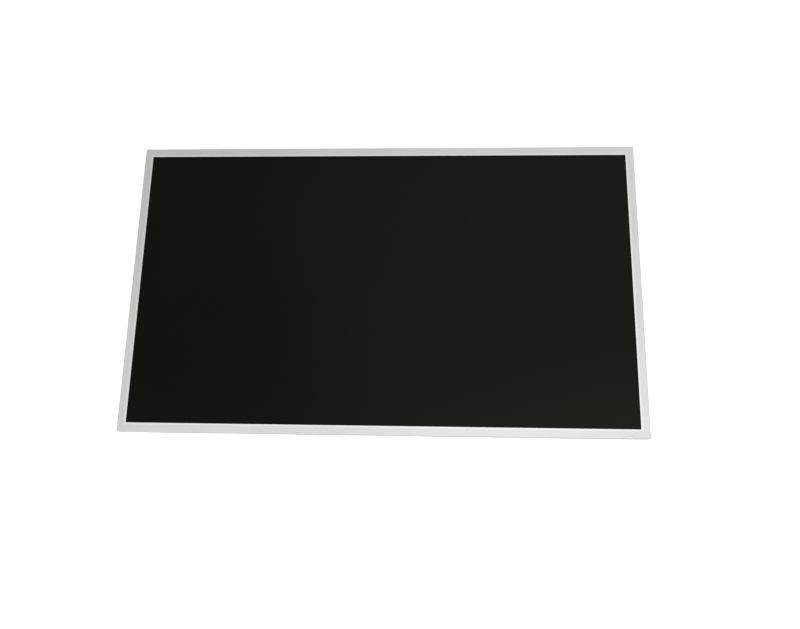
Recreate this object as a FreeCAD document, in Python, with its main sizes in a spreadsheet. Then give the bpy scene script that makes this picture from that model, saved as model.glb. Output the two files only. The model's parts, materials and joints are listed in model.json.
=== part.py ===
"""A 15.6 inch LED-backlit display module for a notebook, lying on its back with the screen up.

X runs along the width, Y towards the top edge of the picture and Z out of the screen.
The origin is the middle of the rear rim that the module lies on. Sizes are in millimetres.
"""
import FreeCAD
import Part
import Sketcher
import math
import os

SIZES = {
    # Outline and the folded sheet-steel bezel
    "outline_width": 359.3,
    "outline_height": 209.5,
    "bezel_sheet": 0.3,
    "bezel_bend": 0.5,
    "bezel_side": 5.9,
    "bezel_top": 6.25,
    "bezel_bottom": 6.25,
    "bezel_skirt": 4.4,
    "bezel_fit": 0.1,
    "corner_slit": 0.9,
    "opening_corner": 0.4,
    # Snap hooks of the moulded frame and the bezel windows that they catch in
    "side_hook_count": 3,
    "hook_length": 8.0,
    "hook_reach": 0.3,
    "hook_rise": 0.9,
    "hook_level": 2.3,
    "snap_clearance": 0.25,
    # M2 screws in the left and right sides
    "screw_level": 2.6,
    "screw_margin": 24.75,
    "screw_inner_pitch": 60.0,
    "screw_hole": 2.6,
    "thread_bore": 1.6,
    "insert_diameter": 3.0,
    "insert_length": 1.8,
    # Layers, from the back to the front
    "rear_margin": 0.04,
    "cover_sheet": 0.3,
    "reflector_thickness": 0.2,
    "guide_thickness": 0.9,
    "diffuser_thickness": 0.1,
    "prism_thickness": 0.15,
    "film_gap": 0.1,
    "ledge_thickness": 0.4,
    "gasket_thickness": 0.05,
    "glass_thickness": 0.5,
    "polarizer_thickness": 0.2,
    "cell_gap": 0.05,
    # Walls of the moulded frame
    "frame_side_rim": 1.85,
    "frame_top_rim": 1.6,
    "frame_bottom_rim": 1.05,
    "frame_side_wall": 3.85,
    "frame_top_wall": 3.95,
    "frame_bottom_wall": 1.45,
    "lip_corner": 0.5,
    "window_inset": 0.15,
    # Glass cell
    "cell_clearance": 0.4,
    "source_ledge": 2.9,
    "gate_ledge": 2.1,
    "polarizer_lap": 0.75,
    "rear_polarizer_clearance": 0.3,
    "pad_length": 8.0,
    "pad_top_spread": 240.0,
    "pad_side_spread": 120.0,
    "gate_chip_length": 16.0,
    "gate_chip_width": 1.0,
    "gate_chip_thickness": 0.3,
    "gate_chip_count": 3,
    "gate_chip_spread": 128.0,
    # Backlight
    "guide_clearance": 0.4,
    "guide_ear_length": 5.0,
    "guide_ear_reach": 1.6,
    "guide_ear_drop": 12.0,
    "led_bay": 3.7,
    "led_count": 48,
    "led_length": 3.8,
    "led_height": 0.8,
    "led_depth": 1.0,
    "led_gap": 0.1,
    "led_end_margin": 3.0,
    "flex_thickness": 0.15,
    "flex_clearance": 0.25,
    "flex_end_margin": 1.0,
    "tail_width": 10.0,
    "tail_bend": 0.4,
    "reflector_strip": 0.15,
    "strip_gap": 0.05,
    # Driver films that fold from the glass round to the board
    "film_count": 4,
    "film_width": 30.0,
    "film_thickness": 0.05,
    "film_bend": 0.5,
    "film_bond": 2.0,
    "film_end_margin": 6.0,
    "film_wall_gap": 0.25,
    "source_chip_clearance": 0.1,
    "film_side_clearance": 0.75,
    "film_pass": 0.15,
    "source_chip_length": 16.0,
    "source_chip_width": 1.2,
    "source_chip_thickness": 0.38,
    # Driver board
    "board_end_gap": 27.4,
    "board_edge_gap": 0.9,
    "board_width": 13.0,
    "board_thickness": 0.45,
    "board_tape": 0.05,
    "board_tape_inset": 1.5,
    "board_notch": 2.5,
    "board_hole": 2.0,
    "board_hole_margin": 3.0,
    "part_room": 0.88,
    "cover_film": 0.08,
    "cover_film_overhang": 1.5,
    "cover_film_slope": 1.6,
    "cover_film_grip": 4.0,
    # Signal connector
    "connector_inset": 20.0,
    "connector_end": 1.75,
    "connector_depth": 4.6,
    "connector_proud": 0.07,
    "connector_shell": 0.12,
    "connector_wall": 0.9,
    "connector_roof": 0.22,
    "connector_foot": 1.2,
    "connector_bay": 3.0,
    "contact_count": 40,
    "contact_pitch": 0.5,
    "contact_width": 0.22,
    "contact_thickness": 0.12,
    "contact_tail": 0.9,
    # Tapes and the pressed bead of the back cover
    "edge_tape": 0.06,
    "edge_tape_width": 5.4,
    "edge_tape_inset": 0.4,
    "bead_depth": 0.25,
    "bead_width": 6.0,
    "bead_slope": 1.0,
    "bead_margin": 14.0,
    "bead_corner": 12.0,
}

# Single chips on the board: the station and lane that each is placed from, its distance along and across
# from there, its length and width, and how far its top stays short of the cover film
CHIPS = {
    "timing_controller": ("middle", "middle", 24.0, 0.9, 8.0, 8.0, 0.03),
    "power_converter": ("right", "middle", -12.0, 1.2, 4.0, 4.0, 0.13),
    "led_driver": ("left", "middle", -28.0, 1.2, 4.0, 4.0, 0.13),
    "memory_chip": ("middle", "middle", -12.0, 1.2, 3.0, 4.4, 0.08),
    "gamma_buffer": ("left", "middle", 28.0, 1.2, 5.0, 5.0, 0.08),
}

# Rows of small parts, given in the same way, with how many there are and their pitch
PART_ROWS = {
    "power_inductors": {
        "boost_coil": ("left", "middle", -35.5, 1.2, 4.2, 4.2, 0.03),
        "supply_coil": ("right", "middle", -4.5, 1.2, 4.2, 4.2, 0.03),
    },
    "chip_capacitors": {
        "input_capacitor": ("right", "upper", 3.0, -2.9, 1.6, 0.8, 0.08, 6, 2.6),
        "core_capacitor": ("middle", "lower", 32.0, 0.9, 1.0, 0.5, 0.38, 10, 2.4),
        "boost_capacitor": ("left", "upper", -18.0, -2.9, 1.6, 0.8, 0.08, 5, 2.6),
        "buffer_capacitor": ("left", "lower", 16.0, 0.9, 1.0, 0.5, 0.38, 10, 2.4),
    },
    "chip_resistors": {
        "line_resistor": ("middle", "upper", 34.0, -1.9, 1.0, 0.5, 0.53, 12, 1.4),
        "sense_resistor": ("left", "middle", -18.0, 0.4, 1.0, 0.5, 0.53, 6, 2.0),
        "buffer_resistor": ("left", "upper", 36.0, -1.9, 1.0, 0.5, 0.53, 12, 1.8),
    },
}
PART_FIELDS = ("along", "across", "length", "width", "headroom", "count", "pitch")
for table in (CHIPS, *PART_ROWS.values()):
    for name, (station, lane, *numbers) in table.items():
        SIZES.update({f"{name}_{field}": number for field, number in zip(PART_FIELDS, numbers)})

doc = FreeCAD.newDocument("display_module")
sheet = doc.addObject("Spreadsheet::Sheet", "Sizes")
for row, (alias, number) in enumerate(SIZES.items(), start=1):
    sheet.set(f"A{row}", alias)
    sheet.set(f"B{row}", str(number))
    sheet.setAlias(f"B{row}", alias)
doc.recompute()

# Heights of the layers above the rear rim
COVER_FILM_Z = "Sizes.rear_margin"
PART_Z = f"({COVER_FILM_Z} + Sizes.cover_film)"
BOARD_Z = f"({PART_Z} + Sizes.part_room)"
COVER_Z = f"({BOARD_Z} + Sizes.board_thickness + Sizes.board_tape)"
REFLECTOR_Z = f"({COVER_Z} + Sizes.cover_sheet)"
GUIDE_Z = f"({REFLECTOR_Z} + Sizes.reflector_thickness)"
LOWER_DIFFUSER_Z = f"({GUIDE_Z} + Sizes.guide_thickness)"
LOWER_PRISM_Z = f"({LOWER_DIFFUSER_Z} + Sizes.diffuser_thickness)"
UPPER_PRISM_Z = f"({LOWER_PRISM_Z} + Sizes.prism_thickness)"
UPPER_DIFFUSER_Z = f"({UPPER_PRISM_Z} + Sizes.prism_thickness)"
LEDGE_Z = f"({UPPER_DIFFUSER_Z} + Sizes.diffuser_thickness + Sizes.film_gap)"
GASKET_Z = f"({LEDGE_Z} + Sizes.ledge_thickness)"
ARRAY_Z = f"({GASKET_Z} + Sizes.gasket_thickness)"
FILTER_Z = f"({ARRAY_Z} + Sizes.glass_thickness)"
POLARIZER_Z = f"({FILTER_Z} + Sizes.glass_thickness)"
FLANGE_Z = f"({POLARIZER_Z} + Sizes.polarizer_thickness + Sizes.cell_gap)"
FRONT_Z = f"({FLANGE_Z} + Sizes.bezel_sheet)"
SKIRT_Z = f"({FRONT_Z} - Sizes.bezel_skirt)"
LED_Z = f"({REFLECTOR_Z} + Sizes.flex_thickness)"

# Outlines seen from the front
INNER_BEND = "(Sizes.bezel_bend - Sizes.bezel_sheet)"
BEZEL_INNER_X = "(Sizes.outline_width / 2 - Sizes.bezel_sheet)"
BEZEL_INNER_Y = "(Sizes.outline_height / 2 - Sizes.bezel_sheet)"
OPENING_WIDTH = "(Sizes.outline_width - 2 * Sizes.bezel_side)"
OPENING_HEIGHT = "(Sizes.outline_height - Sizes.bezel_top - Sizes.bezel_bottom)"
OPENING_Y = "((Sizes.bezel_bottom - Sizes.bezel_top) / 2)"
FRAME_X = f"({BEZEL_INNER_X} - Sizes.bezel_fit)"
FRAME_Y = f"({BEZEL_INNER_Y} - Sizes.bezel_fit)"
WINDOW_WIDTH = f"({OPENING_WIDTH} - 2 * Sizes.window_inset)"
WINDOW_HEIGHT = f"({OPENING_HEIGHT} - 2 * Sizes.window_inset)"

# The frame's pockets: inside the rim for the glass and the rear tray, inside the wall for the backlight
POCKET_X = f"({FRAME_X} - Sizes.frame_side_rim)"
POCKET_TOP = f"({FRAME_Y} - Sizes.frame_top_rim)"
POCKET_BOTTOM = f"(Sizes.frame_bottom_rim - {FRAME_Y})"
GUIDE_POCKET_X = f"({FRAME_X} - Sizes.frame_side_wall)"
GUIDE_POCKET_TOP = f"({FRAME_Y} - Sizes.frame_top_wall)"
GUIDE_POCKET_BOTTOM = f"(Sizes.frame_bottom_wall - {FRAME_Y})"

# The glass, the backlight sheets and the board
GLASS_X = f"({POCKET_X} - Sizes.cell_clearance)"
GLASS_TOP = f"({POCKET_TOP} - Sizes.cell_clearance)"
GLASS_BOTTOM = f"({POCKET_BOTTOM} + Sizes.cell_clearance)"
FILTER_BOTTOM = f"({GLASS_BOTTOM} + Sizes.source_ledge)"
SHEET_X = f"({GUIDE_POCKET_X} - Sizes.guide_clearance)"
SHEET_TOP = f"({GUIDE_POCKET_TOP} - Sizes.guide_clearance)"
SHEET_BOTTOM = f"({GUIDE_POCKET_BOTTOM} + Sizes.led_bay)"
COVER_BOTTOM = f"({GUIDE_POCKET_BOTTOM} + Sizes.guide_clearance)"
BOARD_X = f"({POCKET_X} - Sizes.board_end_gap)"
BOARD_BOTTOM = f"({POCKET_BOTTOM} + Sizes.board_edge_gap)"
BOARD_TOP = f"({BOARD_BOTTOM} + Sizes.board_width)"
BOARD_Y = f"({BOARD_BOTTOM} + Sizes.board_width / 2)"

# Rows of repeated pieces
FILM_ROW = f"(2 * {BOARD_X} - 2 * Sizes.film_end_margin - Sizes.film_width)"
FILM_PITCH = f"({FILM_ROW} / (Sizes.film_count - 1))"
FILM_WALL_Y = f"(Sizes.film_wall_gap - {BEZEL_INNER_Y})"
FIRST_FILM_X = f"(-{FILM_ROW} / 2)"
SCREW_Y = "(Sizes.outline_height / 2 - Sizes.screw_margin)"
CONTACT_ROW = "((Sizes.contact_count - 1) * Sizes.contact_pitch)"
CONNECTOR_X = f"({BOARD_X} - Sizes.connector_inset)"
CONNECTOR_HALF = f"({CONTACT_ROW} / 2 + Sizes.connector_end)"

# Hooks stand midway between the driver films along the long sides, and between the screws on the short ones
LONG_HOOK_COUNT = "Sizes.film_count - 1"
LONG_HOOK_ROW = f"((Sizes.film_count - 2) * {FILM_PITCH})"
SIDE_HOOK_ROW = f"({SCREW_Y} + Sizes.screw_inner_pitch / 2)"

# The LED circuit's tail passes midway between the first film and the first hook
TAIL_X = f"({FIRST_FILM_X} + (Sizes.film_width + {FILM_PITCH} - Sizes.hook_length) / 4)"

# Places on the board that its parts are set out from
STATIONS = {"left": f"(-{FILM_ROW} / 3)", "middle": "0", "right": f"({FILM_ROW} / 3)"}
LANES = {"lower": f"({BOARD_BOTTOM} + Sizes.film_bond)", "middle": BOARD_Y, "upper": BOARD_TOP}


def value(formula):
    """The number that a formula gives with the cells as they are."""
    return float(sheet.evalExpression(formula))


def middle(low, high):
    return f"(({low} + {high}) / 2)"


def span(low, high):
    return f"({high} - {low})"


# Sketches and features


def new_body(label):
    made = doc.addObject("PartDesign::Body", label)
    made.Label = label
    made.AllowCompound = True
    return made


def origin(body, role):
    return next(feature for feature in body.Origin.OriginFeatures if feature.Role == role)


def sketch(body, name, role="XY_Plane", at=("0", "0", "0")):
    """A sketch on one of the body's own origin planes, its origin moved along that plane's axes."""
    made = body.newObject("Sketcher::SketchObject", f"{body.Name}_{name}")
    made.AttachmentSupport = [(origin(body, role), "")]
    made.MapMode = "FlatFace"
    for axis, formula in zip("xyz", at):
        made.setExpression(f"AttachmentOffset.Base.{axis}", formula)
    return made


def bind(made, constraint, name, formula):
    """Adds a dimension to a sketch and ties it to the cells."""
    index = made.addConstraint(constraint)
    made.renameConstraint(index, name)
    made.setExpression(f"Constraints.{name}", formula)


def closed_lines(made, points):
    """A closed outline of straight lines, with every corner joined."""
    vectors = [FreeCAD.Vector(x, y, 0) for x, y in points]
    for start, end in zip(vectors, vectors[1:] + vectors[:1]):
        made.addGeometry(Part.LineSegment(start, end))
    for line in range(len(points)):
        made.addConstraint(Sketcher.Constraint("Coincident", line, 2, (line + 1) % len(points), 1))


def rectangle(made, width, height):
    """A rectangle centred on the sketch's origin."""
    x, y = value(width) / 2, value(height) / 2
    closed_lines(made, [(-x, -y), (x, -y), (x, y), (-x, y)])
    for line, way in enumerate(("Horizontal", "Vertical", "Horizontal", "Vertical")):
        made.addConstraint(Sketcher.Constraint(way, line))
    made.addConstraint(Sketcher.Constraint("Symmetric", 0, 1, 1, 2, -1, 1))
    bind(made, Sketcher.Constraint("DistanceX", 0, 1, 0, 2, 2 * x), "width", width)
    bind(made, Sketcher.Constraint("DistanceY", 1, 1, 1, 2, 2 * y), "height", height)
    return made


def rounded_rectangle(made, width, height, corner):
    """A rectangle centred on the sketch's origin, with its four corners rounded."""
    x, y, radius = value(width) / 2, value(height) / 2, value(corner)
    quarter = math.pi / 2
    corners = ((x, -y, -1, 1), (x, y, -1, -1), (-x, y, 1, -1), (-x, -y, 1, 1))
    starts = ((-x + radius, -y), (x, -y + radius), (x - radius, y), (-x, y - radius))
    ends = ((x - radius, -y), (x, y - radius), (-x + radius, y), (-x, -y + radius))
    for side in range(4):
        first, last = FreeCAD.Vector(*starts[side], 0), FreeCAD.Vector(*ends[side], 0)
        made.addGeometry(Part.LineSegment(first, last))
        corner_x, corner_y, way_x, way_y = corners[side]
        centre = FreeCAD.Vector(corner_x + way_x * radius, corner_y + way_y * radius, 0)
        arc = Part.Circle(centre, FreeCAD.Vector(0, 0, 1), radius)
        made.addGeometry(Part.ArcOfCircle(arc, (side - 1) * quarter, side * quarter))
    for side in range(4):
        line, arc, following = 2 * side, 2 * side + 1, (2 * side + 2) % 8
        made.addConstraint(Sketcher.Constraint("Tangent", line, 2, arc, 1))
        made.addConstraint(Sketcher.Constraint("Tangent", arc, 2, following, 1))
        made.addConstraint(Sketcher.Constraint(("Horizontal", "Vertical")[side % 2], line))
    for arc in (3, 5, 7):
        made.addConstraint(Sketcher.Constraint("Equal", 1, arc))
    made.addConstraint(Sketcher.Constraint("Symmetric", 0, 1, 4, 1, -1, 1))
    bind(made, Sketcher.Constraint("Radius", 1, radius), "corner", corner)
    bind(made, Sketcher.Constraint("DistanceX", 6, 1, 2, 1, 2 * x), "width", width)
    bind(made, Sketcher.Constraint("DistanceY", 0, 1, 4, 1, 2 * y), "height", height)
    return made


def circle(made, diameter):
    """A circle on the sketch's origin."""
    radius = value(diameter) / 2
    made.addGeometry(Part.Circle(FreeCAD.Vector(0, 0, 0), FreeCAD.Vector(0, 0, 1), radius))
    made.addConstraint(Sketcher.Constraint("Coincident", 0, 3, -1, 1))
    bind(made, Sketcher.Constraint("Diameter", 0, 2 * radius), "diameter", diameter)
    return made


def wedge(made, reach, rise, outward):
    """A right triangle with its square corner on the sketch's origin, pointing along +x or -x."""
    x, y = value(reach) * outward, value(rise)
    closed_lines(made, [(0, 0), (x, 0), (0, y)])
    made.addConstraint(Sketcher.Constraint("Coincident", 0, 1, -1, 1))
    made.addConstraint(Sketcher.Constraint("Horizontal", 0))
    made.addConstraint(Sketcher.Constraint("Vertical", 2))
    ends = (0, 1, 0, 2) if outward > 0 else (0, 2, 0, 1)
    bind(made, Sketcher.Constraint("DistanceX", *ends, abs(x)), "reach", reach)
    bind(made, Sketcher.Constraint("DistanceY", 2, 2, 2, 1, y), "rise", rise)
    return made


def pad(profile, length, reverse=False):
    body = profile.getParentGeoFeatureGroup()
    made = body.newObject("PartDesign::Pad", f"{profile.Name}_pad")
    made.Profile = profile
    made.setExpression("Length", length)
    made.Reversed = reverse
    return made


def pocket(profile, length):
    """A cut from the sketch's plane along its normal."""
    body = profile.getParentGeoFeatureGroup()
    made = body.newObject("PartDesign::Pocket", f"{profile.Name}_pocket")
    made.Profile = profile
    made.setExpression("Length", length)
    made.Reversed = True
    return made


def through(profile):
    """A cut right through the body, both ways from the sketch's plane."""
    body = profile.getParentGeoFeatureGroup()
    made = body.newObject("PartDesign::Pocket", f"{profile.Name}_through")
    made.Profile = profile
    made.Type = "ThroughAll"
    made.SideType = "Symmetric"
    return made


def row_of(features, role, count, extent):
    """Copies of features in a straight row that starts at the features themselves."""
    body = features[0].getParentGeoFeatureGroup()
    made = body.newObject("PartDesign::LinearPattern", f"{features[0].Name}_row")
    made.Originals = features
    made.Direction = (origin(body, role), [""])
    made.setExpression("Length", extent)
    made.setExpression("Occurrences", count)
    body.Tip = made
    return made


def block(body, name, size, at, reverse=False):
    """A rectangular pad: its size along x, y and z, and the middle of the face that it grows from."""
    profile = rectangle(sketch(body, name, "XY_Plane", at), size[0], size[1])
    return pad(profile, size[2], reverse)


def plate(label, x_range, y_range, z, thickness):
    """A flat sheet between two pairs of edges."""
    body = new_body(label)
    size = (span(*x_range), span(*y_range), thickness)
    block(body, "outline", size, (middle(*x_range), middle(*y_range), z))
    return body


def cut_box(body, name, x_range, y_range, z_range):
    """A rectangular pocket between three pairs of planes."""
    at = (middle(*x_range), middle(*y_range), z_range[0])
    profile = rectangle(sketch(body, name, "XY_Plane", at), span(*x_range), span(*y_range))
    return pocket(profile, span(*z_range))


def both(formula):
    """A range the same distance either side of the middle."""
    return (f"(-{formula})", formula)


def ribbon(body, name, section_size, bend, fold, ends, x):
    """A flat film that runs out over an edge, down behind it and back under.

    fold gives the middle of the film: the plane that it runs down in, and its upper and lower levels.
    ends gives where it starts, on the upper level, and where it ends, on the lower one.
    """
    wall_y, upper_z, lower_z = fold
    start_y, end_y = ends
    rise, out, back = span(lower_z, upper_z), span(wall_y, start_y), span(wall_y, end_y)
    path = sketch(body, f"{name}_path", "YZ_Plane", (wall_y, lower_z, x))
    top, radius = value(rise), value(bend)
    corners = {"start": (value(out), top), "end": (value(back), 0)}
    upper = FreeCAD.Vector(radius, top - radius, 0)
    lower = FreeCAD.Vector(radius, radius, 0)
    normal = FreeCAD.Vector(0, 0, 1)

    def line(first, last):
        path.addGeometry(Part.LineSegment(FreeCAD.Vector(*first, 0), FreeCAD.Vector(*last, 0)))

    quarter = math.pi / 2
    line(corners["start"], (radius, top))
    path.addGeometry(Part.ArcOfCircle(Part.Circle(upper, normal, radius), quarter, 2 * quarter))
    line((0, top - radius), (0, radius))
    path.addGeometry(Part.ArcOfCircle(Part.Circle(lower, normal, radius), 2 * quarter, 3 * quarter))
    line((radius, 0), corners["end"])
    path.addConstraint(Sketcher.Constraint("Tangent", 0, 2, 1, 1))
    path.addConstraint(Sketcher.Constraint("Tangent", 1, 2, 2, 1))
    path.addConstraint(Sketcher.Constraint("Tangent", 2, 2, 3, 1))
    path.addConstraint(Sketcher.Constraint("Tangent", 3, 2, 4, 1))
    path.addConstraint(Sketcher.Constraint("Horizontal", 0))
    path.addConstraint(Sketcher.Constraint("Vertical", 2))
    path.addConstraint(Sketcher.Constraint("Horizontal", 4))
    path.addConstraint(Sketcher.Constraint("PointOnObject", 2, 1, -2))
    path.addConstraint(Sketcher.Constraint("PointOnObject", 4, 2, -1))
    bind(path, Sketcher.Constraint("Radius", 1, radius), "upper_bend", bend)
    bind(path, Sketcher.Constraint("Radius", 3, radius), "lower_bend", bend)
    bind(path, Sketcher.Constraint("DistanceX", -1, 1, 0, 1, corners["start"][0]), "out", out)
    bind(path, Sketcher.Constraint("DistanceY", -1, 1, 0, 1, top), "rise", rise)
    bind(path, Sketcher.Constraint("DistanceX", -1, 1, 4, 2, corners["end"][0]), "back", back)
    section = sketch(body, f"{name}_section", "XZ_Plane", (x, upper_z, f"(-{start_y})"))
    rectangle(section, *section_size)
    made = body.newObject("PartDesign::AdditivePipe", f"{body.Name}_{name}_pipe")
    made.Profile = section
    made.Spine = (path, [f"Edge{edge}" for edge in range(1, 6)])
    return made


TOLERANCE = 1e-6


def dress_edges(body, kind, name, chosen):
    """A fillet or chamfer on the edges of the body's tip that the test picks."""
    doc.recompute()
    base = body.Tip
    names = [f"Edge{i}" for i, edge in enumerate(base.Shape.Edges, start=1) if chosen(edge)]
    made = body.newObject(f"PartDesign::{kind}", f"{body.Name}_{name}")
    made.Base = (base, names)
    return made


def round_edges(body, name, radius, chosen):
    """Rounds the edges that the test picks."""
    dress_edges(body, "Fillet", name, chosen).setExpression("Radius", radius)


def bevel_edges(body, name, size, chosen):
    """Bevels the edges that the test picks."""
    dress_edges(body, "Chamfer", name, chosen).setExpression("Size", size)


def level_at(height):
    """A test for edges that lie level at a height."""

    def test(edge):
        box = edge.BoundBox
        return max(abs(box.ZMin - height), abs(box.ZMax - height)) < TOLERANCE

    return test


# Case


def make_front_bezel():
    """The stamped front: a flange round the screen with its edges folded back over the moulded frame."""
    body = new_body("front_bezel")
    size = ("Sizes.outline_width", "Sizes.outline_height", "Sizes.bezel_skirt")
    block(body, "blank", size, ("0", "0", SKIRT_Z))
    front = value(FRONT_Z)

    def outside(edge):
        """The front edges, and the corners between the walls, all reach the front face."""
        return edge.BoundBox.ZMax > front - TOLERANCE

    round_edges(body, "outer_bends", "Sizes.bezel_bend", outside)
    cut_box(body, "hollow", both(BEZEL_INNER_X), both(BEZEL_INNER_Y), (SKIRT_Z, FLANGE_Z))
    round_edges(body, "inner_bends", INNER_BEND, level_at(value(FLANGE_Z)))
    opening = sketch(body, "opening", at=("0", OPENING_Y, "0"))
    through(rounded_rectangle(opening, OPENING_WIDTH, OPENING_HEIGHT, "Sizes.opening_corner"))
    cut_corner_slits(body)
    cut_snap_windows(body)
    cut_screw_holes(body)
    return body


def cut_corner_slits(body):
    """Leaves each folded wall short of the corner, as a blank folded on four sides is."""
    for name, x_sign, y_sign in (("a", "-", "-"), ("b", "", "-"), ("c", "", ""), ("d", "-", "")):
        at = (f"({x_sign}Sizes.outline_width / 2)", f"({y_sign}Sizes.outline_height / 2)", SKIRT_Z)
        profile = rectangle(sketch(body, f"slit_{name}", at=at), *["2 * Sizes.corner_slit"] * 2)
        pocket(profile, span(SKIRT_Z, FLANGE_Z))


def cut_snap_windows(body):
    """Rows of slots through the folded walls, one over each hook of the moulded frame."""
    length = "(Sizes.hook_length + 2 * Sizes.snap_clearance)"
    height = "(Sizes.hook_rise + 2 * Sizes.snap_clearance)"
    level = "(Sizes.hook_level + Sizes.hook_rise / 2)"
    rows = (
        ("long_windows", "XZ_Plane", "X_Axis", LONG_HOOK_COUNT, LONG_HOOK_ROW),
        ("side_windows", "YZ_Plane", "Y_Axis", "Sizes.side_hook_count", SIDE_HOOK_ROW),
    )
    for name, plane, axis, count, extent in rows:
        profile = sketch(body, name, plane, (f"(-{extent} / 2)", level, "0"))
        row_of([through(rectangle(profile, length, height))], axis, count, extent)


def cut_screw_holes(body):
    """Clearance holes through both side walls for the screws."""
    for name, start, extent in screw_rows():
        profile = sketch(body, f"{name}_screws", "YZ_Plane", (start, "Sizes.screw_level", "0"))
        row_of([through(circle(profile, "Sizes.screw_hole"))], "Y_Axis", "2", extent)


def make_mould_frame():
    """The moulded frame: a rim round the glass, a ledge under it and a tray for the backlight and board."""
    body = new_body("mould_frame")
    top = f"({FLANGE_Z} - Sizes.bezel_fit)"
    lip = f"({SKIRT_Z} - Sizes.bezel_fit)"
    block(body, "walls", (f"2 * {FRAME_X}", f"2 * {FRAME_Y}", top), ("0", "0", "0"))
    block(body, "lip", ("Sizes.outline_width", "Sizes.outline_height", lip), ("0", "0", "0"))
    round_edges(body, "lip_corners", "Sizes.lip_corner", upright_from_rim)
    bevel_edges(body, "front_bevel", INNER_BEND, level_at(value(top)))
    cut_box(body, "tray", both(POCKET_X), (POCKET_BOTTOM, POCKET_TOP), ("0", COVER_Z))
    guide_y = (GUIDE_POCKET_BOTTOM, GUIDE_POCKET_TOP)
    cut_box(body, "guide_pocket", both(GUIDE_POCKET_X), guide_y, (COVER_Z, LEDGE_Z))
    cut_box(body, "cell_pocket", both(POCKET_X), (POCKET_BOTTOM, POCKET_TOP), (GASKET_Z, top))
    through(rectangle(sketch(body, "window", at=("0", OPENING_Y, "0")), WINDOW_WIDTH, WINDOW_HEIGHT))
    cut_ear_pockets(body)
    cut_film_passes(body, top)
    cut_tail_pass(body)
    cut_insert_bores(body)
    add_hooks(body)
    return body


def upright_from_rim(edge):
    """The edges at the lip's four corners run straight up from the rear rim."""
    box = edge.BoundBox
    return max(box.XLength, box.YLength, abs(box.ZMin)) < TOLERANCE


def cut_ear_pockets(body):
    """Pockets in the side walls that hold the light guide's ears."""
    reach = f"({GUIDE_POCKET_X} + Sizes.guide_ear_reach)"
    low, high = ear_range("Sizes.guide_clearance")
    cut_box(body, "ear_pockets", both(reach), (low, high), (COVER_Z, LEDGE_Z))


def ear_range(clearance):
    """The light guide's ears along y, with a clearance at each end."""
    high = f"({SHEET_TOP} - Sizes.guide_ear_drop + {clearance})"
    low = f"({high} - Sizes.guide_ear_length - 2 * {clearance})"
    return low, high


def cut_film_passes(body, top):
    """Clears the bottom wall where the driver films fold round it."""
    half = "(Sizes.film_width / 2 + Sizes.film_side_clearance)"
    x_range = (f"({FIRST_FILM_X} - {half})", f"({FIRST_FILM_X} + {half})")
    outside = "(-Sizes.outline_height / 2)"
    chip = "(Sizes.film_thickness / 2 + Sizes.source_chip_thickness + Sizes.source_chip_clearance)"
    front = f"({FILTER_Z} - Sizes.film_pass)"
    cuts = [
        cut_box(body, "film_front", x_range, (outside, POCKET_BOTTOM), (front, top)),
        cut_box(body, "film_side", x_range, (outside, f"({FILM_WALL_Y} + {chip})"), (COVER_Z, front)),
        cut_box(body, "film_rear", x_range, (outside, POCKET_BOTTOM), ("0", COVER_Z)),
    ]
    row_of(cuts, "X_Axis", "Sizes.film_count", FILM_ROW)


def cut_tail_pass(body):
    """A notch in the bottom wall for the tail of the LED circuit."""
    half = "(Sizes.tail_width / 2 + Sizes.film_side_clearance)"
    x_range = (f"({TAIL_X} - {half})", f"({TAIL_X} + {half})")
    roof = f"({LED_Z} + Sizes.film_pass)"
    y_range = ("(-Sizes.outline_height / 2)", GUIDE_POCKET_BOTTOM)
    cut_box(body, "tail_pass", x_range, y_range, ("0", roof))


def cut_insert_bores(body):
    """Seats for the threaded inserts, bored in from both sides."""
    inner_face = f"({FRAME_X} - Sizes.insert_length)"
    for side, offset, reverse in (("right", inner_face, True), ("left", f"(-{inner_face})", False)):
        for name, start, extent in screw_rows():
            profile = sketch(body, f"{side}_{name}", "YZ_Plane", (start, "Sizes.screw_level", offset))
            bore = pocket(circle(profile, "Sizes.insert_diameter"), "Sizes.insert_length")
            bore.Reversed = reverse
            row_of([bore], "Y_Axis", "2", extent)


def screw_rows():
    """The outer and the inner pair of side screws: the lower screw's place and the pair's pitch."""
    return (
        ("outer", f"(-{SCREW_Y})", f"2 * {SCREW_Y}"),
        ("inner", "(-Sizes.screw_inner_pitch / 2)", "Sizes.screw_inner_pitch"),
    )


def add_hooks(body):
    """Snap hooks on all four sides, ramped towards the front."""
    along_x = f"(-({LONG_HOOK_ROW} + Sizes.hook_length) / 2)"
    along_y = f"(({SIDE_HOOK_ROW} - Sizes.hook_length) / 2)"
    rows = (
        ("top", "YZ_Plane", FRAME_Y, 1, along_x, "X_Axis", LONG_HOOK_COUNT, LONG_HOOK_ROW),
        ("bottom", "YZ_Plane", f"(-{FRAME_Y})", -1, along_x, "X_Axis", LONG_HOOK_COUNT, LONG_HOOK_ROW),
        ("right", "XZ_Plane", FRAME_X, 1, along_y, "Y_Axis", "Sizes.side_hook_count", SIDE_HOOK_ROW),
        ("left", "XZ_Plane", f"(-{FRAME_X})", -1, along_y, "Y_Axis", "Sizes.side_hook_count", SIDE_HOOK_ROW),
    )
    for name, plane, face, outward, start, axis, count, extent in rows:
        profile = sketch(body, f"{name}_hook", plane, (face, "Sizes.hook_level", start))
        hook = pad(wedge(profile, "Sizes.hook_reach", "Sizes.hook_rise", outward), "Sizes.hook_length")
        row_of([hook], axis, count, extent)


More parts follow.
